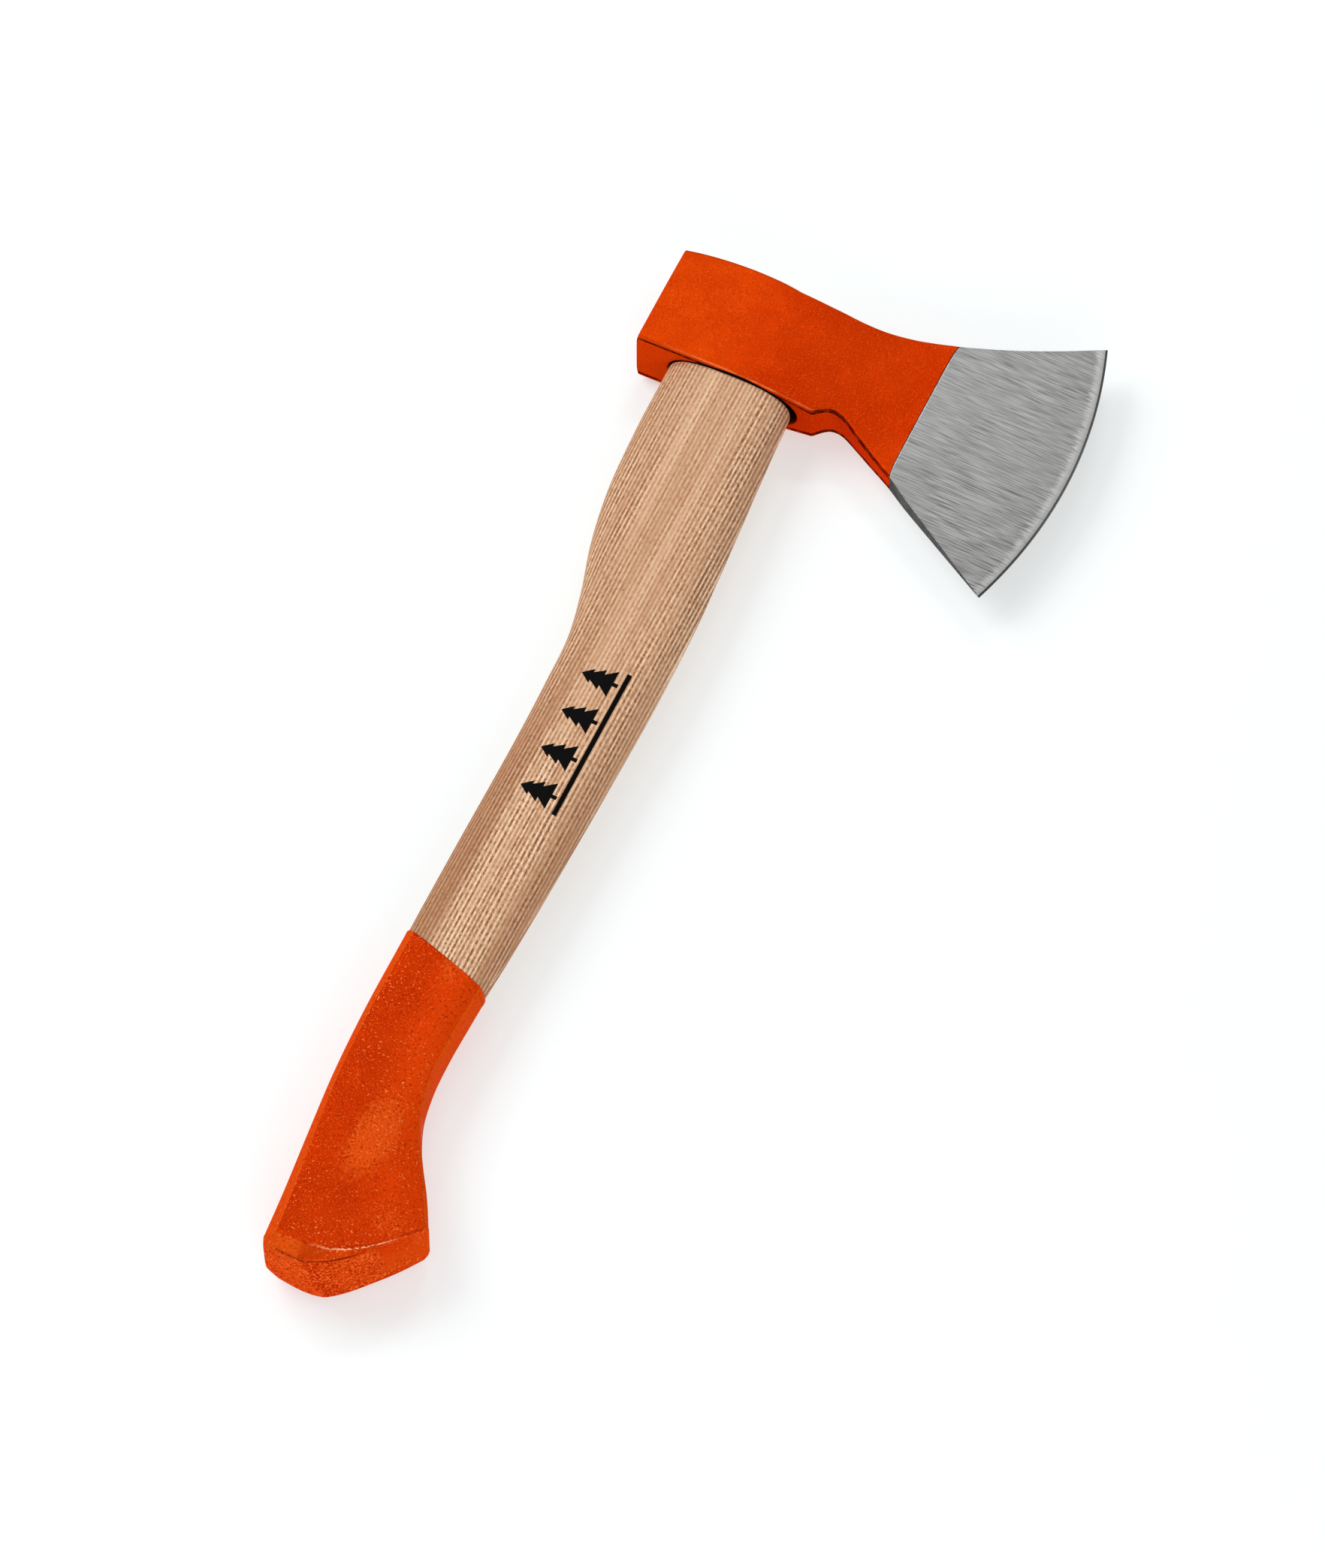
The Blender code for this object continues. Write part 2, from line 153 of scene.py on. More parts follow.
# Wedges: width, half thickness at the tip and at the head, and depth. The kerf is sawn wider than its wedge.
WOOD_WEDGE = (36.0, (0.7, 2.2), 29.0)
KERF = (60.0, *WOOD_WEDGE[1:])
STEEL_WEDGE = (13.0, (0.5, 1.5), 22.0)
STEEL_WEDGE_X = {"rear": -9.5, "front": 9.5}
WEDGE_RECESS = 0.4
WEDGE_CUTS = 11
WEDGE_TAPER = 0.12
WEDGE_CROWN = 0.12
WEDGE_BATTER = 0.10
BATTER_SCALE = 2.2
WEDGE_WEAR = 0.05 * MM
SLOT_ROOM = 0.12
SLOT_RISE = 5.0
GAP = 0.3

# Fine shape of the forging. The crease beside a corner starts and turns at CREASE_BACK from it; where there
# is no crease, the same rows of points keep within PLAIN_REACH of the corner and PLAIN_SHARE of the wall.
POLL_STEPS = 9
POLL_ROUNDING = 1.3
CAP_RINGS = 12
CAP_PULL = 0.12
BODY_COLUMNS = 150
WALL_STEPS = 9
FILLET_STEPS = 6
FILLET_WAVER = 0.18
FILLET_WAVER_SIZE = 9.0
CHEEK_STEPS = 84
CREASE_BACK = (1.5, 1.15, 0.35)
CREASE_DEPTH = 0.14
PLAIN_REACH = 0.1
PLAIN_SHARE = 0.3
CHEEK_CROWN = 0.35
BROAD_BUMPS = (0.16, 26.0, 2.0)
SMALL_BUMPS = (0.035, 7.0, 5.0)
LINE_BEND = 0.9
LINE_BEND_WIDTH = 6.0
LINE_BEND_REACH = 2.5
BUMP_FADE = 6.0

# The painted highlight along the head's corners starts at SHINE_X and is full after SHINE_REACH. Along the
# underside a line of painted shade takes its place from BEARD_SHADE_X on.
SHINE_X = -30.0
SHINE_REACH = 22.0
BEARD_SHADE_X = LUG_X - 4.0
BEARD_SHADE_REACH = 6.0
BEARD_SHADE = 0.75

# The line where the paint ends: painted shade on its painted side, and painted highlight on its ground side.
PAINT_END_SHADE = 0.8
GRIND_START_SHINE = 0.9

# Fine shape of the handle and the grip: how many rings each stretch has, how many of the grip's rings the lip
# and the knob's edge stand in for, and that lip and edge as (inset, drop) below the line they follow.
TENON_RINGS = 18
SHOULDER_RINGS = 7
NECK_RINGS = 190
CORE_RINGS = 50
GRIP_RINGS = 150
RINGS_IN_LIP = 3
RINGS_IN_EDGE = 2
END_RUNGS = 40
COAT_STEP = 0.4
SHOULDER_Y = 0.3
SHOULDER_RADIUS = 1.3
LIP = (
    (0.66, 0.5), (0.5, 0.06), (0.36, 0.0), (0.2, 0.04), (0.06, 0.2), (-0.03, 0.5), (-0.06, 1.0), (-0.03, 1.6),
    (0.0, 2.2),
)
KNOB_EDGE = (
    (0.0, -1.4), (-0.06, -0.9), (-0.1, -0.5), (-0.05, -0.15), (0.12, 0.1), (0.34, 0.4), (0.9, 1.3),
    (1.45, 2.2), (1.85, 2.85), (2.15, 3.25), (2.45, 3.42), (2.9, 3.5), (3.5, 3.55),
)
KNOB_DOME = 0.5

# Points of an end ring this near its tip belong to a flat side, and points this close together are one.
FLAT_SIDE = 0.05
SAME_POINT = 0.001 * MM

# Painted shade in the crease under the chamfer at each drop, near the back and near the front of the knob.
CREASE_SHADE = {3.25: (0.0, 0.6), 3.42: (0.8, 1.0), 3.5: (0.5, 1.0), 3.55: (0.0, 0.6)}
# Painted shade along the bevel crease, and painted light on the knob's end beside the ridge.
BEVEL_SHADE = 0.9
END_PALENESS = 0.75

# The painted light on the back half of the grip's face loses this share of it from KNOB_FADE_Y downwards.
KNOB_FADE = 0.55
KNOB_FADE_Y = -280.0
KNOB_FADE_REACH = 35.0

# Patches of painted highlight on the grip: middle, half size and amount.
HIGHLIGHT_PATCHES = (
    ((18.5, -309.0), (7.5, 17.0), 1.0),
    ((14.0, -241.0), (3.5, 9.0), 0.6),
    ((36.0, -335.0), (8.0, 5.0), 0.4),
)

# Printed sign.
PRINT_X = 11.0
PRINT_Y = -148.0
PRINT_HIGH = 13.0
PRINT_STEP = 15.5
PRINT_TREES = 4
PRINT_BAR = 1.6
PRINT_BAR_DROP = 0.9
PRINT_BAR_REACH = 0.45
PRINT_GRID = 0.8
PRINT_ABOVE = 40.0
INK_THICKNESS = 0.035

# Corners of half the grip's section in half sizes, and how far and in how many steps each side bows.
GRIP_CORNERS = ((1.0, 0.0), (1.0, 0.40), (0.955, 0.70), (-0.80, 0.90), (-0.985, 0.48), (-1.0, 0.0))
GRIP_BOWS = (0.004, 0.02, 0.12, 0.02, 0.004)
GRIP_COUNTS = (12, 12, 56, 12, 12)
BOW_FLATNESS = 2.6

# Beech: spacing of the growth lines in metres, how far they wander, and how they open towards the sides.
GRAIN_SPACING = 0.0015
GRAIN_DRIFT = 9.0
GRAIN_FALL = 0.3

# The painted highlight along the wood's rim at the mouth of the eye: how ragged it is and how high it starts.
RIM_RAGGED = 1.6 * MM
RIM_ABOVE = 0.55 * MM

# Painted shade darkens the handle's sides, more so from LOW_Y down, where its grain also shows more firmly.
LOW_Y = -90.0
LOW_REACH = 110.0

# Painted shade on the tenon inside the eye: from just above its mouth up to where it fades out near the top.
INSIDE_FROM = (0.05 * MM, 0.25 * MM)
INSIDE_TO = (38 * MM, 30 * MM)

# The orange paints' gloss.
PAINT_IOR = 1.01
PAINT_SHEEN = 0.3
PAINT_TINT = (1.0, 0.12, 0.01, 1.0)

# Stage and view. A lamp is a direction, a distance, a size and a power.
WHITE = (1.0, 1.0, 1.0, 1.0)
FLOOR_HALF = 4.0
FLOOR_GLOW = 0.50
WORLD_STRENGTH = 0.45
LAMPS = {
    "key": ((-0.68, 0.10, 0.72), 1.6, (1.0, 1.0), 14.2),
    "front": ((0.50, -0.78, 0.40), 1.6, (0.9, 0.9), 9.5),
    "window": ((-0.14, 0.60, 0.80), 1.4, (0.40, 0.16), 2.0),
}
VIEW_AZIMUTH = 25.2
VIEW_ELEVATION = 60.0
VIEW_DISTANCE = 3.7695
VIEW_LENS = 265.19
VIEW_TARGET = (43.65, -145.91, 0.0)

head_low, head_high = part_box("axe_head")
ORIGIN = Vector((
    cad_low.x - POLL_X * MM,
    head_high.y - HEEL[1] * MM,
    (head_low.z + head_high.z) / 2,
))


# Curves and outlines

def smooth(table, y):
    """Smooth cubic through the (y, value) pairs of a table whose y runs downwards, at each y."""
    knots = np.array(table)[::-1]
    slopes = np.gradient(knots[:, 1], knots[:, 0])
    y = np.clip(y, knots[0, 0], knots[-1, 0])
    place = np.clip(np.searchsorted(knots[:, 0], y) - 1, 0, len(knots) - 2)
    span = knots[place + 1, 0] - knots[place, 0]
    t = (y - knots[place, 0]) / span
    start = (1 + 2 * t) * (1 - t) ** 2 * knots[place, 1] + t * (1 - t) ** 2 * span * slopes[place]
    end = t**2 * (3 - 2 * t) * knots[place + 1, 1] + t**2 * (t - 1) * span * slopes[place + 1]
    return start + end


def bezier(corners, count=24):
    """Points of one cubic curve, both ends included."""
    t = np.linspace(0.0, 1.0, count + 1)[:, None]
    a, b, c, d = (np.array(corner) for corner in corners)
    return (1 - t) ** 3 * a + 3 * t * (1 - t) ** 2 * b + 3 * t**2 * (1 - t) * c + t**3 * d


def outline_y(line, x):
    """The y of an outline at x."""
    return np.interp(x, line[:, 0], line[:, 1])


def smoothstep(value):
    """value held between 0 and 1, with a soft start and a soft end."""
    value = np.clip(value, 0.0, 1.0)
    return value * value * (3 - 2 * value)


def wobble(points, height, size, seed):
    """Soft noise at each point, with bumps of about the given height and size."""
    offset = Vector((seed, 7.1, 3.3))
    return height * np.array([noise.noise(Vector(point) / size + offset) for point in points])


def round_reach(turns, power):
    """Distance from the middle to the rim of a unit superellipse, at each turn."""
    return (np.abs(np.cos(turns)) ** power + np.abs(np.sin(turns)) ** power) ** (-1 / power)


# Mesh building

def add_object(name, data):
    """A new object in the scene for some data."""
    made = bpy.data.objects.new(name, data)
    bpy.context.scene.collection.objects.link(made)
    return made


def mesh_object(name, points, faces, looks, indices=None, sharp=40.0):
    """A mesh in the frame from points in millimetres."""
    mesh = bpy.data.meshes.new(name)
    placed = np.asarray(points, float) * MM + np.array(ORIGIN)
    mesh.from_pydata(placed.tolist(), [], faces)
    for look in looks:
        mesh.materials.append(look)
    if indices is not None:
        mesh.polygons.foreach_set("material_index", indices)
    tidy_mesh = bmesh.new()
    tidy_mesh.from_mesh(mesh)
    bmesh.ops.recalc_face_normals(tidy_mesh, faces=tidy_mesh.faces)
    tidy_mesh.to_mesh(mesh)
    tidy_mesh.free()
    mesh.shade_smooth()
    mesh.set_sharp_from_angle(angle=math.radians(sharp))
    return add_object(name, mesh)


def points_and_faces(shape):
    """The points and the faces of a bmesh, which is freed."""
    shape.verts.index_update()
    points = [tuple(vert.co) for vert in shape.verts]
    faces = [tuple(vert.index for vert in face.verts) for face in shape.faces]
    shape.free()
    return points, faces


def merge_slivers(made):
    """Merges the points of a mesh that coincide, where a face has no width."""
    shape = bmesh.new()
    shape.from_mesh(made.data)
    bmesh.ops.remove_doubles(shape, verts=shape.verts, dist=SAME_POINT)
    shape.to_mesh(made.data)
    shape.free()


def store(made, name, values):
    """A number for each point of a mesh, which its material reads."""
    made.data.attributes.new(name, "FLOAT", "POINT").data.foreach_set("value", np.asarray(values, np.float32))


def placed_points(made):
    """The points of a mesh in millimetres from ORIGIN."""
    return (np.array([tuple(vert.co) for vert in made.data.vertices]) - ORIGIN) / MM


def skin(rings):
    """Quads between successive closed rings, as (points, faces)."""
    count = len(rings[0])
    faces = []
    for first in range(0, count * (len(rings) - 1), count):
        second = first + count
        for step in range(count):
            following = (step + 1) % count
            faces.append((first + step, first + following, second + following, second + step))
    return np.concatenate(rings), faces


def cut(target, cutters):
    """Takes the cutters out of the target, then removes them."""
    for cutter in cutters:
        modifier = target.modifiers.new("cut", "BOOLEAN")
        modifier.operation = "DIFFERENCE"
        modifier.solver = "EXACT"
        modifier.object = cutter
    graph = bpy.context.evaluated_depsgraph_get()
    mesh = bpy.data.meshes.new_from_object(target.evaluated_get(graph))
    target.modifiers.clear()
    target.data = mesh
    for cutter in cutters:
        bpy.data.objects.remove(cutter)


# Head

def top_line():
    """The head's upper outline from the poll to the heel."""
    return np.concatenate([
        bezier(((POLL_X, POLL_TOP_Y), (-22.0, 40.6), (-6.0, 40.9), (8.0, CROWN_TOP_Y))),
        bezier(((30.0, CROWN_TOP_Y), (42.0, CROWN_TOP_Y), (52.0, 43.2), (GRIND_X, GRIND_TOP_Y))),
        bezier(((GRIND_X, GRIND_TOP_Y), (76.0, 51.2), (92.0, 59.5), HEEL))[1:],
    ])


def bottom_line():
    """The head's lower outline: underside, lug, hollow and beard, down to the toe."""
    beard = (BEARD_X, TOE[1] + BEARD_SLOPE * (BEARD_X - TOE[0]))
    return np.concatenate([
        [(POLL_X, 0.0)],
        bezier(((LUG_X, 0.0), (31.5, 1.6), (33.5, HOLLOW[1]), HOLLOW)),
        bezier((HOLLOW, (39.5, HOLLOW[1]), (42.0, beard[1] + 3.0), beard))[1:],
        [TOE],
    ])


def inside_edge(x, y):
    """Distance inward from the cutting edge, the arc through the heel, the middle of the edge and the toe."""
    (ax, ay), (bx, by), (cx, cy) = HEEL, EDGE_MIDDLE, TOE
    sides = np.array([[bx - ax, by - ay], [cx - bx, cy - by]])
    sums = [(bx**2 - ax**2 + by**2 - ay**2) / 2, (cx**2 - bx**2 + cy**2 - by**2) / 2]
    centre = np.linalg.solve(sides, sums)
    return math.dist(centre, EDGE_MIDDLE) - np.hypot(x - centre[0], y - centre[1])


def forged_half(x):
    """Half thickness of the forging at x."""
    taper = smoothstep((x - TAPER_START_X) / (TAPER_END_X - TAPER_START_X))
    return POLL_HALF + (BIT_HALF - POLL_HALF) * taper


def even_half(half, x, y):
    """The same half thickness at each x and y of a section."""
    return np.full(len(x), half)


def ground_half(x, y):
    """Half thickness of the ground bit: a shallow cone, with the honed bevel along its edge."""
    inward = np.maximum(inside_edge(x, y), 0.0)
    shoulder = EDGE_BEVEL_HALF - EDGE_LAND_HALF - GRIND_SLOPE * EDGE_BEVEL
    return EDGE_LAND_HALF + GRIND_SLOPE * inward + shoulder * (1 - np.exp(-inward / HONING_REACH))


def honed(x, y):
    """1 beside the cutting edge, falling to 0 where the honing ends."""
    return 1 - smoothstep((inside_edge(x, y) - 0.5) / HONED_WIDTH)


def head_column(low, high, sag, half, radius, crease):
    """One closed section of the head between two outline points, bowed forward by sag, as points and
    marks of painted shade and painted highlight.

    half gives the thickness at each x and y. The section starts at the middle of the underside.
    """
    low, high = np.array(low), np.array(high)
    length = math.dist(low, high)
    along = (high - low) / length
    forward = np.array((along[1], -along[0]))
    quarter = np.linspace(0.0, math.pi / 2, FILLET_STEPS + 1)
    rise = radius * (1 - np.cos(quarter))
    back = radius * (1 - np.sin(quarter))
    near = np.linspace(radius, length - radius, CHEEK_STEPS + 1)[1:-1]
    down = np.concatenate([rise, near, (length - rise)[::-1]])
    inset = np.concatenate([back, np.zeros(len(near)), back[::-1]])
    share = down / length
    flat = low + np.outer(share, high - low) + np.outer(4 * sag * share * (1 - share), forward)
    z = half(flat[:, 0], flat[:, 1]) - inset

    def wall(corner_z, place, outward):
        """Points from the middle of a wall to its corner, with a fine sunk line just short of it."""
        reach = max(crease, min(PLAIN_REACH, PLAIN_SHARE * corner_z))
        stops = np.linspace(0.0, corner_z - CREASE_BACK[0] * reach, WALL_STEPS)
        stops = np.append(stops, [corner_z - back * reach for back in CREASE_BACK[1:]])
        sunk = np.zeros(len(stops))
        sunk[-2:] = CREASE_DEPTH * crease
        return [(*(place - outward * depth), stop) for stop, depth in zip(stops, sunk)], sunk / CREASE_DEPTH

    bottom, bottom_marks = wall(z[0], flat[0], -along)
    top, top_marks = wall(z[-1], flat[-1], along)
    cheek = [(x, y, up) for (x, y), up in zip(flat, z)]
    half_ring = np.array(bottom + cheek + top[::-1])
    # Painted shade in the sunk creases and along the underside; painted highlight along the fillets.
    dark = np.concatenate([bottom_marks, np.zeros(len(cheek)), top_marks[::-1]])
    light = np.zeros(len(dark))
    shine = crease * float(smoothstep((low[0] - SHINE_X) / SHINE_REACH))
    beard = float(smoothstep((low[0] - BEARD_SHADE_X) / BEARD_SHADE_REACH))
    corner, middle = len(bottom), FILLET_STEPS // 2
    light[corner + middle:corner + middle + 2] = shine * (1 - beard)
    light[-corner - middle - 2:-corner - middle] = shine
    dark[corner:corner + middle + 1] = BEARD_SHADE * crease * beard
    mirrored = half_ring[1:-1][::-1] * (1, 1, -1)
    marks = np.stack([dark, light])
    return np.concatenate([half_ring, mirrored]), np.concatenate([marks, marks[:, 1:-1][:, ::-1]], axis=1)


def head_columns():
    """Every section of the head from the poll to the cutting edge, and how many of them are painted."""
    top, bottom = top_line(), bottom_line()
    columns, marks = [], []
    turns = np.linspace(0.0, math.pi / 2, POLL_STEPS)
    poll_xs = POLL_X + FORGED_RADIUS * (1 - np.cos(turns))
    body_xs = np.linspace(POLL_X + FORGED_RADIUS, GRIND_X - LINE_WIDTH, BODY_COLUMNS)[1:]
    for x in np.concatenate([poll_xs, body_xs, [GRIND_X]]):
        turn = min((x - POLL_X) / FORGED_RADIUS, 1.0)
        cut_back = FORGED_RADIUS * (1 - math.sqrt(max(1 - (1 - turn) ** 2, 0.0)))
        low = (x, outline_y(bottom, x) + cut_back)
        high = (x, outline_y(top, x) - cut_back)
        rounding = math.sin(turn * math.pi / 2) ** POLL_ROUNDING
        thick = POLL_FLAT_HALF + (forged_half(x) - POLL_FLAT_HALF) * rounding
        radius = FORGED_RADIUS * (1 + FILLET_WAVER * noise.noise(Vector((x / FILLET_WAVER_SIZE, 0.0, 1.0))))
        even = functools.partial(even_half, thick)
        ring, mark = head_column(low, high, 0.0, even, radius, 1.0)
        columns.append(ring)
        marks.append(mark)
    # Painted shade on the painted side of the line where the paint ends.
    marks[-1][0] = np.maximum(marks[-1][0], PAINT_END_SHADE)
    painted = len(columns)

    chord_middle = (np.array(HEEL) + TOE) / 2
    full_sag = math.dist(chord_middle, EDGE_MIDDLE)
    for share in GROUND_STOPS:
        low_x = GRIND_X + (TOE[0] - GRIND_X) * share
        high_x = GRIND_X + (HEEL[0] - GRIND_X) * share
        low = (low_x, outline_y(bottom, low_x))
        high = (high_x, outline_y(top, high_x))
        thinnest = float(ground_half(np.array(low_x), np.array(low[1])))
        radius = min(GROUND_RADIUS, GROUND_RADIUS_SHARE * thinnest)
        ring, mark = head_column(low, high, full_sag * share, ground_half, radius, 0.0)
        mark[1] = honed(ring[:, 0], ring[:, 1])
        # Painted highlight on the ground side of the line where the paint ends.
        if share == GROUND_STOPS[0]:
            mark[1] = np.maximum(mark[1], GRIND_START_SHINE)
        columns.append(ring)
        marks.append(mark)
    for mark in marks[-3:]:
        mark[0] = 1.0
    return columns, marks, painted


def shape_forging(points, painted_points):
    """Soft unevenness of the forged cheeks, and the ends of the paint line turned a little forward."""
    top, bottom = top_line(), bottom_line()
    x, y, z = points.T
    room = np.minimum(y - outline_y(bottom, x), outline_y(top, x) - y)
    near_line = np.exp(-(((x - GRIND_X) / LINE_BEND_WIDTH) ** 2))
    points[:, 0] += LINE_BEND * near_line * np.exp(-np.maximum(room, 0.0) / LINE_BEND_REACH)
    rise = outline_y(top, x) - outline_y(bottom, x)
    level = np.clip(room / (rise / 2), 0.0, 1.0)
    crown = -CHEEK_CROWN * (1 - level) ** 2
    uneven = wobble(points, *BROAD_BUMPS) + wobble(points, *SMALL_BUMPS)
    share = smoothstep((GRIND_X + 0.1 - x) / BUMP_FADE) * np.clip(np.abs(z) / BUMP_FADE, 0.0, 1.0)
    thickness = np.where(np.arange(len(points)) < painted_points, (crown + uneven) * share, 0.0)
    points[:, 2] += np.sign(z) * thickness
    return points


def poll_cap(ring):
    """Rings that close the poll towards the middle of its face, and that middle."""
    middle = (ring.min(axis=0) + ring.max(axis=0)) / 2
    rings = []
    for step in range(CAP_RINGS - 1, 0, -1):
        share = 1 - step / CAP_RINGS
        shrunk = middle + (ring - middle) * share
        shrunk[:, 0] -= CAP_PULL * (1 - share**2)
        rings.append(shrunk)
    return rings, middle - (CAP_PULL, 0.0, 0.0)


def eye_cutter():
    """The eye with its flared mouth, as one solid through the head."""
    levels = [*EYE_MOUTH, *((y, a + GAP, b + GAP) for y, a, b in TENON_LEVELS[1:]), EYE_TOP]
    points, faces = skin([eye_ring(*level) for level in levels])
    ends = [tuple(range(EYE_POINTS)), tuple(range(len(points) - EYE_POINTS, len(points)))]
    return mesh_object("eye", points, faces + ends, ())


def make_head(enamel, ground, scale):
    """The forging in one closed skin, with its eye cut through it: enamel, ground cheeks and scaled walls."""
    columns, marks, painted = head_columns()
    inner, middle = poll_cap(columns[0])
    rings = inner + columns
    points, faces = skin(rings)
    count = len(columns[0])
    painted_rows = painted + len(inner)
    points = shape_forging(points, painted_rows * count)
    mark = np.concatenate([np.zeros((2, len(inner) * count)), *marks, np.zeros((2, 1))], axis=1)
    points = np.concatenate([points, [middle]])
    centre = len(points) - 1
    faces += [(centre, (step + 1) % count, step) for step in range(count)]
    last = (len(rings) - 1) * count
    half = count // 2
    wall = WALL_STEPS + len(CREASE_BACK) - 1
    edge = [[last + k % count for k in range(count - wall - 1, count + wall + 2)]]
    edge.append([last + k for k in range(half - wall - 1, half + wall + 2)])
    for k in range(wall + 1, half - wall - 1):
        edge.append((last + k, last + k + 1, last + count - k - 1, last + count - k))

    on_cheek = np.array([wall <= min(k, count - 1 - k) < half - wall for k in range(count)])
    rows = np.arange(len(rings) - 1)[:, None] >= painted_rows - 1
    indices = np.where(rows, np.where(on_cheek, 1, 2), 0).ravel().tolist()
    indices += [0] * count + [1] * len(edge)
    head = mesh_object("forged_head", points, faces + edge, (enamel, ground, scale), indices, sharp=38.0)
    store(head, "dark_line", mark[0])
    store(head, "light_line", mark[1])
    cut(head, [eye_cutter()])
    return head


def eye_ring(y, half_length, half_width, shift=0.0):
    """One level of the eye: a rounded oval, shifted forward."""
    turn = np.arange(EYE_POINTS) * math.tau / EYE_POINTS
    power = 2 / TENON_ROUNDNESS
    across = np.sign(np.cos(turn)) * np.abs(np.cos(turn)) ** power
    up = np.sign(np.sin(turn)) * np.abs(np.sin(turn)) ** power
    return np.stack([across * half_length + shift, np.full(EYE_POINTS, y), up * half_width], axis=1)


# Handle and grip

def grip_shape():
    """The grip's section in half sizes: crowned faces, creased at the bevels, and rounded sides."""
    corners = np.array(GRIP_CORNERS)
    points = []
    for first, second, bow, count in zip(corners, corners[1:], GRIP_BOWS, GRIP_COUNTS):
        share = (1 - np.cos(np.linspace(0.0, math.pi, count + 1)[:-1])) / 2
        outward = np.array([second[1] - first[1], first[0] - second[0]])
        outward /= np.hypot(*outward)
        bowed = np.outer(bow * (1 - np.abs(2 * share - 1) ** BOW_FLATNESS), outward)
        points.append(first + np.outer(share, second - first) + bowed)
    upper = np.concatenate([*points, corners[-1:]])
    lower = upper[1:-1][::-1] * (1, -1)
    return np.concatenate([upper, lower])


GRIP_SHAPE = grip_shape()
GRIP_TURN = np.arctan2(GRIP_SHAPE[:, 1], GRIP_SHAPE[:, 0])


def handle_ring(back_y, front_y, crown=0.0, inset=0.0, drop=0.0, lean=0.0, ridge=0.0):
    """The handle's outline on a surface from back_y to front_y that bulges down by crown and leans in Z."""
    level = (back_y + front_y) / 2
    power = smooth(SQUARENESS, level)
    reach = round_reach(GRIP_TURN, power)
    oval = np.stack([reach * np.cos(GRIP_TURN), reach * np.sin(GRIP_TURN)], axis=1)
    faceted = np.clip(smooth(FACETED, level), 0.0, 1.0)
    across, up = (oval + (GRIP_SHAPE - oval) * faceted).T
    back_x = smooth(BACK, back_y) + inset
    front_x = smooth(FRONT, front_y) - inset * (1 + FRONT_ROUNDING * ridge)
    share = np.clip((across + 1) / 2, 0.0, 1.0)
    x = back_x + (front_x - back_x) * share
    y = back_y + (front_y - back_y) * share - crown * np.sin(math.pi * share**CROWN_SKEW)
    z = up * (smooth(HALF_THICKNESS, y) - inset)
    from_ridge = np.abs(x - RIDGE_X + RIDGE_SLANT * z)
    y = y - ridge * RIDGE_RISE * np.clip(1 - from_ridge / RIDGE_REACH, 0.0, 1.0)
    return np.stack([x, y - drop + lean * z, z], axis=1)


def between(start, end, count):
    """(back_y, front_y, share) from start to end in count steps, ends included."""
    return [
        (start[0] + (end[0] - start[0]) * share, start[1] + (end[1] - start[1]) * share, share)
        for share in np.linspace(0.0, 1.0, count + 1)
    ]


def grip_ring(back_y, front_y, share, inset, drop=0.0):
    """One ring of the grip between the dip line, share 0, and the edge of the knob's end, share 1."""
    lean = DIP_LEAN * (1 - share) ** 2
    return handle_ring(back_y, front_y, KNOB_CROWN * share**2, inset, drop - inset * share, lean)


def fill_end(points, faces, ring, first, rungs, dome):
    """Closes a ring by rungs between its upper and lower points, bulged down by dome at mid thickness.

    first is the ring's place in points. One face closes the flat side at each end of the ring.
    """
    count = len(ring)
    last = count // 2
    high_x, low_x = ring[0][0] - FLAT_SIDE, ring[last][0] + FLAT_SIDE
    inner = [step for step in range(last) if high_x > ring[step][0] > low_x]
    rows = []
    for step in inner:
        near, far = ring[step], ring[count - step]
        row = [first + step]
        for share in np.linspace(0.0, 1.0, rungs + 1)[1:-1]:
            point = near + (far - near) * share
            point[1] -= dome * 4 * share * (1 - share)
            row.append(len(points))
            points.append(point)
        rows.append(row + [first + count - step])
    for row, following in zip(rows, rows[1:]):
        for k in range(rungs):
            faces.append((row[k], row[k + 1], following[k + 1], following[k]))
    right = [first + step % count for step in range(count - inner[0], count + inner[0] + 1)]
    left = [first + step for step in range(inner[-1], count - inner[-1] + 1)]
    faces.append(right + rows[0][1:-1])
    faces.append(left + rows[-1][-2:0:-1])


def closed_skin(name, rings, looks, rungs=1, dome=0.0):
    """A mesh through the rings, closed at both ends; rungs and dome shape the last one."""
    points, faces = skin(rings)
    points = list(points)
    fill_end(points, faces, rings[0], 0, 1, 0.0)
    fill_end(points, faces, rings[-1], (len(rings) - 1) * len(rings[0]), rungs, dome)
    return mesh_object(name, points, faces, looks)


def tenon_rings():
    """The tenon in as many points as the handle, from its top to the mouth of the eye."""
    levels = np.array(TENON_LEVELS)
    reach = round_reach(GRIP_TURN, TENON_ROUNDNESS)
    heights = [(TENON_TOP_Y - drop, inset) for drop, inset in TENON_EDGE]
    heights += [(y, 0.0) for y in np.linspace(37.0, 2.0, TENON_RINGS)]
    rings = []
    for y, inset in heights:
        length = np.interp(y, levels[:, 0], levels[:, 1]) - inset
        width = np.interp(y, levels[:, 0], levels[:, 2]) - inset
        across = reach * np.cos(GRIP_TURN) * length
        up = reach * np.sin(GRIP_TURN) * width
        rings.append(np.stack([across, np.full(len(reach), y), up], axis=1))
    return rings


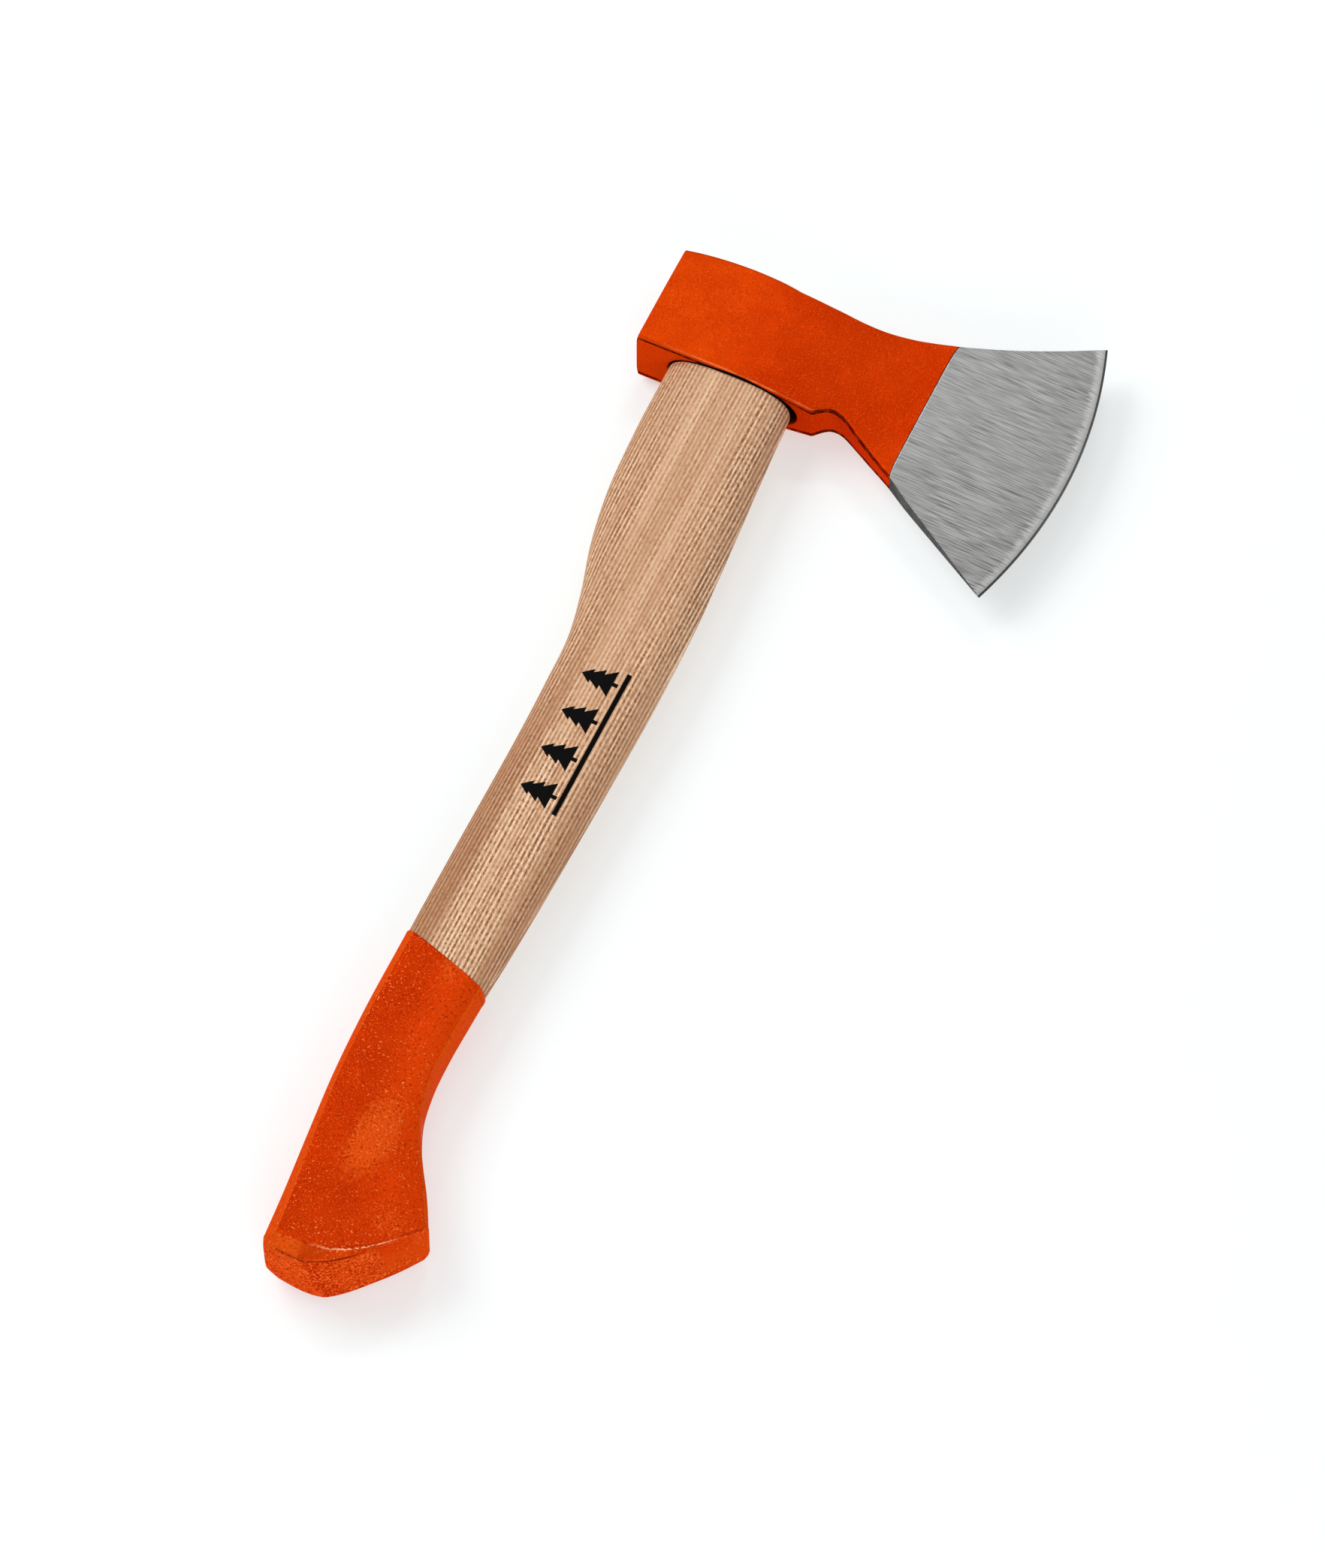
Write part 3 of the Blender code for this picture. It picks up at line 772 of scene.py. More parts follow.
def make_handle(beech):
    """The beech handle in one skin: tenon, shoulder, neck, and the core of the grip under the paint."""
    rings = tenon_rings()
    for turn in np.linspace(0.0, math.pi / 2, SHOULDER_RINGS):
        y = SHOULDER_Y - SHOULDER_RADIUS * (1 - math.cos(turn))
        rings.append(handle_ring(y, y, inset=SHOULDER_RADIUS * (1 - math.sin(turn))))
    top = SHOULDER_Y - SHOULDER_RADIUS
    for back_y, front_y, share in between((top, top), DIP_LINE, NECK_RINGS)[1:]:
        rings.append(handle_ring(back_y, front_y, inset=COAT_STEP * share**8, lean=DIP_LEAN * share**2))
    rings += [grip_ring(*stop, COAT + GAP) for stop in between(DIP_LINE, KNOB_LINE, CORE_RINGS)[1:]]
    handle = closed_skin("beech_handle", rings, (beech,))
    mark_handle(handle)
    return handle


def mark_handle(handle):
    """Stores where the grain runs, how much painted shade the sides get and how firm the grain shows."""
    x, y, z = placed_points(handle).T
    back, front = smooth(BACK, y), smooth(FRONT, y)
    side = np.clip((2 * x - back - front) / (front - back), -1.0, 1.0)
    fall = smooth(HALF_THICKNESS, y) - np.abs(z)
    store(handle, "grain", (x + GRAIN_FALL * fall * side) * MM)
    low = smoothstep((LOW_Y - y) / LOW_REACH)
    left, right = smoothstep((-side - 0.2) / 0.4), smoothstep((side - 0.4) / 0.55)
    store(handle, "side", np.clip((0.5 + 0.5 * low) * (left + 0.65 * right) + 0.1 * low, 0.0, 1.0))
    store(handle, "firm", np.maximum(low, smoothstep(np.abs(side) / 0.9)))


def make_coating(paint):
    """The dipped skin: inner face, rounded lip at the dip line, grip, chamfer and crowned end of the knob."""
    rings = [grip_ring(*stop, COAT) for stop in between(DIP_LINE, KNOB_LINE, CORE_RINGS)[1:]][::-1]
    rings += [grip_ring(*DIP_LINE, 0.0, inset, drop) for inset, drop in LIP]
    stops = between(DIP_LINE, KNOB_LINE, GRIP_RINGS)[RINGS_IN_LIP:-RINGS_IN_EDGE]
    rings += [grip_ring(*stop, 0.0) for stop in stops]
    for inset, drop in KNOB_EDGE:
        share = min(max(drop / END_CHAMFER, 0.0), 1.0)
        crown = KNOB_CROWN + (END_CROWN - KNOB_CROWN) * share
        rings.append(handle_ring(*KNOB_LINE, crown, inset, drop, ridge=share))
    coating = closed_skin("dipped_grip", rings, (paint,), rungs=END_RUNGS, dome=KNOB_DOME)
    mark_grip(coating, len(rings), len(rings[0]))
    mark_knob(coating, len(rings), len(rings[0]))
    return coating


def along_grip(made, rows):
    """rows, one number for each point of each ring, followed by 0 for the points inside the knob's end."""
    return np.append(rows, np.zeros(len(made.data.vertices) - rows.size))


def mark_grip(coating, rings, count):
    """Stores painted shade at creases, painted highlight at the chamfer, painted light and shade on faces."""
    crease = GRIP_COUNTS[0] + GRIP_COUNTS[1]
    edge = rings - len(KNOB_EDGE)
    across = (np.arange(count) - crease) / GRIP_COUNTS[2]
    on_bevel = (across <= 0) | (across >= 1)
    face = smoothstep(across / 0.12) * smoothstep((1 - across) / 0.15)
    glow = smoothstep((across - 0.2) / 0.15) * smoothstep((0.7 - across) / 0.25)
    to_front = smoothstep((0.6 - across) / 0.2)
    dark, light, lift, shade = np.zeros((4, rings, count))
    # Painted shade along the bevel crease.
    dark[CORE_RINGS + len(LIP):edge, crease] = BEVEL_SHADE
    lift[:edge] = np.where(on_bevel, 0.0, smoothstep((0.6 - across) / 0.35))
    shade[:edge] = np.where(on_bevel, 0.0, smoothstep((across - 0.55) / 0.35))
    for row, (_, drop) in enumerate(KNOB_EDGE, edge):
        # Painted highlight along the top of the chamfer.
        light[row] = glow if -0.2 < drop < 0.2 else 0.0
        at_back, at_front = CREASE_SHADE.get(drop, (0.0, 0.0))
        dark[row] = face * (at_back + (at_front - at_back) * to_front)
    y = placed_points(coating)[:, 1]
    knob_fade = 1 - KNOB_FADE * smoothstep((KNOB_FADE_Y - y) / KNOB_FADE_REACH)
    store(coating, "dark_line", along_grip(coating, dark))
    store(coating, "light_line", along_grip(coating, light))
    store(coating, "lift", along_grip(coating, lift) * knob_fade)
    store(coating, "shade", along_grip(coating, shade))


def mark_knob(coating, rings, count):
    """Stores painted light on the bevels and the knob's chamfer and end, its pitted end, and highlight
    patches.
    """
    x, y, z = placed_points(coating).T
    drops = np.array([-2.0] * (rings - len(KNOB_EDGE)) + [drop for _, drop in KNOB_EDGE])
    on_rings = rings * count
    drop = np.append(np.repeat(drops, count), np.full(len(x) - on_rings, 4.0))
    across = (np.arange(len(x)) % count - GRIP_COUNTS[0] - GRIP_COUNTS[1]) / GRIP_COUNTS[2]
    on_bevel = ((across <= 0) | (across >= 1)) & (np.arange(len(x)) < on_rings)
    from_ridge = x - RIDGE_X + RIDGE_SLANT * z
    # Painted light: paler on the bevels and on the lit sides of the chamfer and the knob's end.
    chamfer = np.where(from_ridge < -1.5, 0.9, 0.25 + 0.4 * smoothstep((from_ridge - 18.0) / 6.0))
    end = np.where(from_ridge < 0, 1.0, END_PALENESS - 0.75 * smoothstep((9.0 - from_ridge) / 9.0))
    pale = np.select([drop >= END_CHAMFER, drop > 0.05], [end, chamfer], on_bevel)
    highlight_patch = np.zeros(len(x))
    for (middle_x, middle_y), (half_x, half_y), amount in HIGHLIGHT_PATCHES:
        away = ((x - middle_x) / half_x) ** 2 + ((y - middle_y) / half_y) ** 2
        highlight_patch = np.maximum(highlight_patch, amount * np.exp(-(away**2)))
    store(coating, "pale", pale)
    store(coating, "pitted", drop >= END_CHAMFER)
    store(coating, "highlight_patch", highlight_patch)


# Wedges and print

def make_wedge(name, size, taper, depth, x, look, crosswise):
    """A driven wedge: tapered bar with rounded corners and a slightly mushroomed, uneven head."""
    shape = bmesh.new()
    bmesh.ops.create_cube(shape, size=2.0)
    bmesh.ops.subdivide_edges(shape, edges=shape.edges, cuts=WEDGE_CUTS, use_grid_fill=True)
    head_y, tip_y = TENON_TOP_Y - WEDGE_RECESS, TENON_TOP_Y - depth
    for vert in shape.verts:
        level = (vert.co.y + 1) / 2
        corner = max(abs(vert.co.x), abs(vert.co.z))
        spot = Vector((vert.co.x * BATTER_SCALE + x, vert.co.z * BATTER_SCALE, 4.0))
        worn = (WEDGE_BATTER * noise.noise(spot) - WEDGE_CROWN * corner**4) * (level > 0.99)
        vert.co.x *= size / 2 - WEDGE_TAPER * (1 - level)
        vert.co.z *= taper[0] + (taper[1] - taper[0]) * level
        vert.co.y = tip_y + (head_y - tip_y) * level + worn
        if crosswise:
            vert.co.x, vert.co.z = vert.co.z, -vert.co.x
        vert.co.x += x
    made = mesh_object(name, *points_and_faces(shape), (look,))
    bevel = made.modifiers.new("worn_corners", "BEVEL")
    bevel.width = WEDGE_WEAR
    bevel.segments = 2
    bevel.limit_method = "ANGLE"
    return made


def wedge_slot(size, taper, depth, x, crosswise):
    """The cutter for a wedge's slot in the wood, a little larger than the wedge and open at the top."""
    rows = ((TENON_TOP_Y + SLOT_RISE, taper[1]), (TENON_TOP_Y - depth - SLOT_ROOM, taper[0]))
    rings = []
    for y, half in rows:
        wide, thick = size / 2 + SLOT_ROOM, half + SLOT_ROOM
        corners = ((wide, thick), (-wide, thick), (-wide, -thick), (wide, -thick))
        rings.append(np.array([(x + t, y, w) if crosswise else (x + w, y, t) for w, t in corners]))
    points, faces = skin(rings)
    return mesh_object("slot", points, faces + [(0, 1, 2, 3), (4, 5, 6, 7)], ())


def steel_slots():
    """The cutters for the slots of the steel wedges."""
    return [wedge_slot(*STEEL_WEDGE, x, True) for x in STEEL_WEDGE_X.values()]


def make_wedges(handle, wood, steel):
    """Cuts the kerf and the slots, and drives in the wooden wedge and the steel ones."""
    cut(handle, [wedge_slot(*KERF, 0.0, False), *steel_slots()])
    wooden = make_wedge("wood_wedge", *WOOD_WEDGE, 0.0, wood, False)
    cut(wooden, steel_slots())
    driven = [
        make_wedge(f"steel_wedge_{place}_fine", *STEEL_WEDGE, x, steel, True)
        for place, x in STEEL_WEDGE_X.items()
    ]
    return wooden, driven


def fir_outline():
    """One plain fir tree, 1 high and 0.8 wide, its foot on the line v = 0, as (u, v) corners."""
    right = [
        (0.055, 0.0), (0.055, 0.14), (0.40, 0.14), (0.17, 0.44), (0.31, 0.44), (0.12, 0.72), (0.22, 0.72),
    ]
    left = [(-u, v) for u, v in reversed(right)]
    return right + [(0.0, 1.0)] + left


def print_outlines():
    """The printed sign laid flat, as outlines in x and y: a row of fir trees over a bar."""
    foot = PRINT_X + PRINT_HIGH / 2
    middle = (PRINT_TREES - 1) / 2
    outlines = []
    for tree in range(PRINT_TREES):
        tree_y = PRINT_Y + (tree - middle) * PRINT_STEP
        outlines.append([(foot - v * PRINT_HIGH, tree_y + u * PRINT_HIGH) for u, v in fir_outline()])
    low, high = foot + PRINT_BAR_DROP, foot + PRINT_BAR_DROP + PRINT_BAR
    reach = middle * PRINT_STEP + PRINT_BAR_REACH * PRINT_HIGH
    left, right = PRINT_Y - reach, PRINT_Y + reach
    outlines.append([(low, left), (high, left), (high, right), (low, right)])
    return outlines


def make_print(handle, ink):
    """A generic printed sign, laid on the upper face of the handle as a thin film.

    Its faces are sorted, because the extrusion lists them in an order that changes from run to run.
    """
    surface = BVHTree.FromObject(handle, bpy.context.evaluated_depsgraph_get())
    shape = bmesh.new()
    for outline in print_outlines():
        shape.faces.new([shape.verts.new((x, y, 0.0)) for x, y in outline])
    shape.normal_update()
    bmesh.ops.triangulate(shape, faces=shape.faces)
    for axis, normal in enumerate((Vector((1, 0, 0)), Vector((0, 1, 0)))):
        places = [vert.co[axis] for vert in shape.verts]
        for place in np.arange(min(places), max(places), PRINT_GRID):
            everything = shape.verts[:] + shape.edges[:] + shape.faces[:]
            bmesh.ops.bisect_plane(
                shape, geom=everything, plane_co=normal * place, plane_no=normal, dist=0.0001
            )
    for vert in shape.verts:
        above = Vector((vert.co.x, vert.co.y, PRINT_ABOVE)) * MM + ORIGIN
        hit = surface.ray_cast(above, Vector((0, 0, -1)))[0]
        vert.co.z = (hit.z - ORIGIN.z) / MM + INK_THICKNESS
    sheet = bmesh.ops.extrude_face_region(shape, geom=shape.faces[:])
    for item in sheet["geom"]:
        if isinstance(item, bmesh.types.BMVert):
            item.co.z -= 2 * INK_THICKNESS
    points, faces = points_and_faces(shape)
    return mesh_object("printed_sign", points, sorted(faces), (ink,))


# Materials

class Look:
    """A material under construction, with one short call for each kind of node and the colour laid so far."""

    def __init__(self, name, roughness, metallic=0.0, specular=0.5):
        self.material = bpy.data.materials.new(name)
        self.material.use_nodes = True
        self.tree = self.material.node_tree
        self.shader = self.tree.nodes["Principled BSDF"]
        self.fill(self.shader, Roughness=roughness, Metallic=metallic, Specular_IOR_Level=specular)
        self.place = self.node("TexCoord").outputs["Object"]
        self.colour = None

    def put(self, socket, value):
        """Links or sets one input."""
        if isinstance(value, bpy.types.NodeSocket):
            self.tree.links.new(value, socket)
        else:
            socket.default_value = value

    def fill(self, node, **values):
        """Links or sets inputs of a node by name, with _ for a space."""
        for name, value in values.items():
            self.put(node.inputs[name.replace("_", " ")], value)
        return node

    def node(self, kind, **values):
        """A new node of a kind, its inputs filled."""
        return self.fill(self.tree.nodes.new("ShaderNode" + kind), **values)

    def stretched(self, x, y, z, turn=0.0, place=None):
        """The place on the object, scaled so that one unit is 1/x, 1/y, 1/z of a metre."""
        made = self.node("Mapping", Vector=place or self.place, Scale=(x, y, z), Rotation=(0.0, 0.0, turn))
        return made.outputs["Vector"]

    def noise(self, scale, detail, roughness=0.5, place=None):
        """Soft noise around 0.5 at a place, by default the place on the object."""
        place = place or self.place
        made = self.node("TexNoise", Vector=place, Scale=scale, Detail=detail, Roughness=roughness)
        return made.outputs["Fac"]

    def span(self, value, low, high, to_low=0.0, to_high=1.0):
        """value carried from low..high to to_low..to_high, clamped and smooth."""
        made = self.node("MapRange", Value=value, From_Min=low, From_Max=high, To_Min=to_low, To_Max=to_high)
        made.interpolation_type = "SMOOTHSTEP"
        return made.outputs["Result"]

    def maths(self, operation, first, second=0.0, third=0.0):
        """One step of arithmetic on numbers or sockets."""
        made = self.node("Math")
        made.operation = operation
        for socket, value in zip(made.inputs, (first, second, third)):
            self.put(socket, value)
        return made.outputs[0]

    def times(self, first, second):
        """The product of two values."""
        return self.maths("MULTIPLY", first, second)

    def base(self, share, first, second):
        """Starts the colour: from first to second as share goes from 0 to 1."""
        made = self.node("Mix")
        made.data_type = "RGBA"
        self.put(made.inputs["Factor"], share)
        for socket, colour in ((made.inputs[6], first), (made.inputs[7], second)):
            self.put(socket, colour if isinstance(colour, bpy.types.NodeSocket) else (*colour, 1.0))
        self.colour = made.outputs[2]

    def coat(self, share, colour):
        """Lays a colour over the colour so far, as much as share says."""
        self.base(share, self.colour, colour)

    def oval(self, centre, half_sizes):
        """Distance from the middle of an oval, 1 on its rim; an axis of half size 0 is left out."""
        scale = [1 / half if half else 0.0 for half in half_sizes]
        shift = [-c / half if half else 0.0 for c, half in zip(centre, half_sizes)]
        made = self.node("Mapping", Scale=scale, Location=shift, Vector=self.place)
        length = self.node("VectorMath")
        length.operation = "LENGTH"
        self.put(length.inputs[0], made.outputs["Vector"])
        return length.outputs["Value"]

    def axis(self, name):
        """The place on the object along X, Y or Z."""
        return self.node("SeparateXYZ", Vector=self.place).outputs[name]

    def joined(self, x, y):
        """A place made of two values."""
        return self.node("CombineXYZ", X=x, Y=y).outputs["Vector"]

    def stored(self, name):
        """A number stored with the mesh."""
        made = self.node("Attribute")
        made.attribute_name = name
        return made.outputs["Fac"]

    def bump(self, height, distance, under=None, strength=1.0):
        """A surface raised by height, on top of the bump under it."""
        made = self.node("Bump", Strength=strength, Distance=distance, Height=height)
        if under:
            self.put(made.inputs["Normal"], under)
        return made.outputs["Normal"]

    def finish(self, normal, roughness):
        """The material, with the colour laid so far."""
        self.fill(self.shader, Base_Color=self.colour, Normal=normal, Roughness=roughness)
        return self.material


def paint_look(name, roughness):
    """Base of the two orange paints: their gloss is orange too, so that their edges stay deep in colour."""
    look = Look(name, roughness, metallic=PAINT_SHEEN)
    look.fill(look.shader, IOR=PAINT_IOR, Specular_Tint=PAINT_TINT)
    return look


def enamel():
    """Orange enamel on the forging: orange peel, fine grit, broad unevenness and a dark crease."""
    look = paint_look("orange_enamel", 0.4)
    broad = look.noise(38.0, 2.0)
    cloud = look.noise(160.0, 3.0)
    peel_patches = look.noise(420.0, 2.0)
    look.base(look.span(broad, 0.35, 0.65), (0.56, 0.030, 0.0005), (0.63, 0.040, 0.001))
    # Painted light: the enamel is coloured lighter towards the poll.
    poll = look.span(look.axis("X"), ORIGIN.x + 16 * MM, ORIGIN.x - 22 * MM, 0.0, 0.8)
    look.coat(poll, (0.68, 0.058, 0.0015))
    look.coat(look.span(cloud, 0.3, 0.7, 0.0, 0.35), (0.59, 0.036, 0.0008))
    grit = look.noise(1900.0, 2.0, 0.6)
    specks = look.noise(1250.0, 0.0)
    look.coat(look.span(grit, 0.54, 0.72, 0.0, 0.9), (0.75, 0.090, 0.008))
    look.coat(look.span(grit, 0.44, 0.28, 0.0, 0.55), (0.36, 0.015, 0.0003))
    # Painted glints: sparse bright specks.
    look.coat(look.span(specks, 0.82, 0.90, 0.0, 0.5), (0.90, 0.22, 0.06))
    # Painted highlight along the head's corners.
    edge = look.times(look.stored("light_line"), look.span(cloud, 0.35, 0.6, 0.2, 0.8))
    look.coat(edge, (0.90, 0.20, 0.05))
    # Painted shade in the creases along the corners, along the underside and at the paint's end.
    crease = look.span(look.stored("dark_line"), 0.15, 0.8, 0.0, 0.9)
    crease = look.times(crease, look.span(peel_patches, 0.38, 0.55, 0.55, 1.0))
    look.coat(crease, (0.035, 0.003, 0.001))
    # Painted shade: the enamel turns dark inside the eye's mouth.
    shift, half_length, half_width = (size * MM for size in EYE_RIM)
    eye = look.oval((ORIGIN.x + shift, 0.0, ORIGIN.z), (half_length, 0.0, half_width))
    look.coat(look.span(eye, 1.0, 0.955, 0.0, 0.95), (0.02, 0.004, 0.002))
    peel = look.noise(950.0, 3.0, 0.55)
    normal = look.bump(peel, 0.00025, strength=0.6)
    normal = look.bump(grit, 0.00010, under=normal, strength=0.6)
    return look.finish(normal, look.span(cloud, 0.3, 0.7, 0.32, 0.5))


def ground_steel():
    """Ground and brushed steel: fine lines across the bit, brighter scratches along the honed edge."""
    look = Look("ground_steel", 0.36, metallic=1.0)
    fine = look.noise(1.0, 2.0, 0.6, look.stretched(90.0, 3400.0, 500.0, turn=0.04))
    coarse = look.noise(1.0, 1.0, 0.5, look.stretched(70.0, 1700.0, 400.0, turn=0.03))
    cloud = look.noise(60.0, 2.0)
    look.base(look.span(fine, 0.32, 0.68), (0.090, 0.090, 0.089), (0.385, 0.385, 0.38))
    look.coat(look.span(coarse, 0.38, 0.25, 0.0, 0.3), (0.075, 0.075, 0.074))
    look.coat(look.span(coarse, 0.66, 0.78, 0.0, 0.3), (0.46, 0.46, 0.455))
    look.coat(look.span(cloud, 0.35, 0.65, 0.0, 0.2), (0.27, 0.27, 0.27))
    scratch = look.noise(1.0, 2.0, 0.6, look.stretched(180.0, 2300.0, 400.0, turn=0.15))
    # The honed edge's brighter scratches, and a painted highlight where the paint ends.
    marks = look.span(look.maths("MULTIPLY_ADD", look.stored("light_line"), 0.5, scratch), 0.62, 0.98)
    look.coat(look.times(marks, 0.75), (0.58, 0.58, 0.57))
    # Painted shade beside the paint's end, and a dark line along the cutting edge.
    look.coat(look.span(look.stored("dark_line"), 0.3, 0.9, 0.0, 0.85), (0.02, 0.02, 0.02))
    normal = look.bump(fine, 0.00006, strength=0.5)
    normal = look.bump(coarse, 0.00008, under=normal, strength=0.4)
    return look.finish(normal, look.span(fine, 0.3, 0.7, 0.32, 0.46))


def forge_scale():
    """Dark scale left on the upper and lower walls of the bit."""
    look = Look("forge_scale", 0.6, metallic=0.6)
    pits = look.noise(1400.0, 4.0, 0.65)
    patches = look.noise(220.0, 3.0)
    look.base(look.span(patches, 0.35, 0.65), (0.012, 0.012, 0.012), (0.055, 0.055, 0.052))
    look.coat(look.span(pits, 0.58, 0.72, 0.0, 0.6), (0.18, 0.18, 0.175))
    normal = look.bump(pits, 0.0002, strength=0.7)
    return look.finish(normal, look.span(pits, 0.3, 0.7, 0.45, 0.75))


def beech():
    """Planed beech: straight fine grain, ray flecks, soft colour bands and a painted highlight at the eye."""
    look = Look("beech", 0.6, specular=0.06)
    grain = look.joined(look.stored("grain"), look.axis("Y"))
    bands = look.noise(1.0, 3.0, 0.6, look.stretched(170.0, 3.0, 0.0, turn=0.01, place=grain))
    drift = look.noise(1.0, 2.0, place=look.stretched(90.0, 6.0, 0.0, place=grain))
    phase = look.times(look.stored("grain"), math.tau / GRAIN_SPACING)
    phase = look.maths("MULTIPLY_ADD", drift, GRAIN_DRIFT, phase)
    rings = look.maths("SINE", phase)
    dashes = look.noise(1.0, 2.0, 0.6, look.stretched(1100.0, 700.0, 1100.0, turn=0.15))
    strength = look.noise(1.0, 2.0, place=look.stretched(330.0, 20.0, 0.0, turn=0.02, place=grain))
    strength = look.span(strength, 0.35, 0.65, 0.45, 1.0)
    strength = look.times(strength, look.span(look.stored("firm"), 0.0, 1.0, 0.6, 1.15))
    dark = look.times(look.span(rings, -0.2, 0.9), look.span(dashes, 0.60, 0.44, 0.15, 1.0))
    light = look.times(look.span(rings, 0.1, -0.95), look.span(dashes, 0.38, 0.58, 0.25, 1.0))
    light = look.times(light, look.span(look.stored("side"), 0.0, 1.0, 1.0, 0.35))
    look.base(look.span(bands, 0.34, 0.66), (0.57, 0.30, 0.16), (0.72, 0.44, 0.265))
    # Painted shade on the handle's sides, darker low down.
    look.coat(look.stored("side"), (0.42, 0.192, 0.092))
    look.coat(look.times(dark, strength), (0.26, 0.105, 0.043))
    look.coat(look.times(light, strength), (0.97, 0.72, 0.51))
    look.coat(look.span(dashes, 0.36, 0.24, 0.0, 0.6), (0.24, 0.095, 0.04))
    # Painted highlight along the wood's ragged rim at the eye's mouth.
    fibres = look.noise(700.0, 1.0)
    height = look.maths("MULTIPLY_ADD", fibres, RIM_RAGGED, look.axis("Y"))
    rim_y = ORIGIN.y + RIM_ABOVE
    rim = look.span(height, rim_y, rim_y + 0.2 * MM, 0.0, 0.9)
    look.coat(rim, (0.95, 0.80, 0.66))
    # Painted shade on the tenon inside the eye.
    inside = look.span(look.axis("Y"), *(ORIGIN.y + height for height in INSIDE_FROM))
    inside = look.times(inside, look.span(look.axis("Y"), *(ORIGIN.y + height for height in INSIDE_TO)))
    look.coat(inside, (0.03, 0.012, 0.006))
    lift = look.maths("MULTIPLY_ADD", light, 0.5, dashes)
    normal = look.bump(lift, 0.0003, strength=0.5)
    return look.finish(normal, look.span(dashes, 0.3, 0.7, 0.5, 0.7))


def dip_paint():
    """Thick orange dip paint: pebbled skin with fine glints, smoother in patches, dark in its creases."""
    look = paint_look("orange_dip_paint", 0.3)
    broad = look.noise(42.0, 2.0)
    patches = look.noise(60.0, 2.0)
    pebble = look.noise(1050.0, 3.0, 0.6)
    grain = look.noise(2300.0, 2.0, 0.7)
    knobs = look.noise(1150.0, 1.0, 0.5)
    glint = look.noise(1300.0, 0.0)
    highlight_patch = look.maths("ADD", look.stored("highlight_patch"), look.span(pebble, 0.3, 0.7, -0.35, 0.35))
    highlight_patch = look.span(highlight_patch, 0.25, 0.75)
    rough_share = look.maths("MAXIMUM", look.span(patches, 0.40, 0.62, 0.35, 1.0), highlight_patch)
    look.base(look.span(broad, 0.35, 0.65), (0.50, 0.026, 0.0006), (0.56, 0.034, 0.001))
    # Painted light and painted shade across the grip's faces.
    look.coat(look.stored("lift"), (0.77, 0.053, 0.0018))
    look.coat(look.times(look.stored("shade"), 0.7), (0.40, 0.022, 0.0005))
    # Painted light: the bevels, the knob's chamfer and its end coloured paler.
    look.coat(look.stored("pale"), (0.73, 0.085, 0.0055))
    # Painted highlight in the highlight patches of the grip.
    look.coat(look.times(highlight_patch, 0.8), (0.80, 0.088, 0.007))
    look.coat(look.span(grain, 0.52, 0.70, 0.0, 0.9), (0.80, 0.090, 0.008))
    look.coat(look.span(pebble, 0.46, 0.28, 0.0, 0.8), (0.33, 0.014, 0.0003))
    pitted = look.times(look.span(knobs, 0.46, 0.34), look.stored("pitted"))
    look.coat(look.times(pitted, 0.85), (0.36, 0.016, 0.0004))
    raised = look.times(look.span(knobs, 0.54, 0.66), look.stored("pitted"))
    look.coat(look.times(raised, 0.85), (0.92, 0.15, 0.03))
    # Painted glints: fine bright specks, more of them in rough patches and highlight patches.
    shine = look.times(look.span(glint, 0.68, 0.80), rough_share)
    look.coat(look.times(shine, 0.9), (0.90, 0.19, 0.05))
    # Painted highlight along the top of the knob's chamfer.
    edge = look.times(look.stored("light_line"), look.span(pebble, 0.40, 0.52))
    look.coat(edge, (1.0, 0.45, 0.22))
    # Painted shade in the grip's creases.
    crease = look.times(look.stored("dark_line"), look.span(pebble, 0.30, 0.50, 0.35, 1.0))
    look.coat(crease, (0.10, 0.008, 0.001))
    normal = look.bump(look.times(pebble, rough_share), 0.0006, strength=0.6)
    normal = look.bump(grain, 0.00015, under=normal, strength=0.6)
    return look.finish(normal, look.span(patches, 0.35, 0.65, 0.25, 0.4))


def print_ink():
    """Black printing ink, a little worn where the grain stands up."""
    look = Look("print_ink", 0.6, specular=0.04)
    grain = look.noise(1.0, 2.0, 0.6, look.stretched(2400.0, 120.0, 2400.0))
    look.base(look.span(grain, 0.60, 0.80, 0.0, 0.35), (0.002, 0.002, 0.002), (0.035, 0.025, 0.018))
    return look.finish(look.bump(grain, 0.00005, strength=0.5), look.span(grain, 0.3, 0.7, 0.42, 0.6))


def wedge_wood():
    """End grain of the hardwood wedge."""
    look = Look("wedge_wood", 0.7, specular=0.25)
    pores = look.noise(1.0, 2.0, 0.6, look.stretched(2300.0, 300.0, 2300.0))
    rings = look.noise(1.0, 3.0, place=look.stretched(500.0, 40.0, 900.0))
    look.base(look.span(rings, 0.35, 0.65), (0.30, 0.155, 0.075), (0.45, 0.26, 0.14))
    look.coat(look.span(pores, 0.42, 0.25, 0.0, 0.7), (0.14, 0.065, 0.03))
    return look.finish(look.bump(pores, 0.0001, strength=0.5), look.span(pores, 0.3, 0.7, 0.6, 0.8))


def wedge_steel():
    """Hammered mild steel of the driven wedges, with a little brown staining."""
    look = Look("wedge_steel", 0.42, metallic=1.0)
    dents = look.noise(700.0, 2.0)
    stain = look.noise(420.0, 4.0, 0.7)
    look.base(look.span(dents, 0.35, 0.65), (0.30, 0.30, 0.29), (0.46, 0.46, 0.45))
    look.coat(look.span(stain, 0.56, 0.70, 0.0, 0.6), (0.16, 0.10, 0.06))
    return look.finish(look.bump(dents, 0.0002, strength=0.5), look.span(stain, 0.4, 0.7, 0.32, 0.62))


# Stage, light and camera

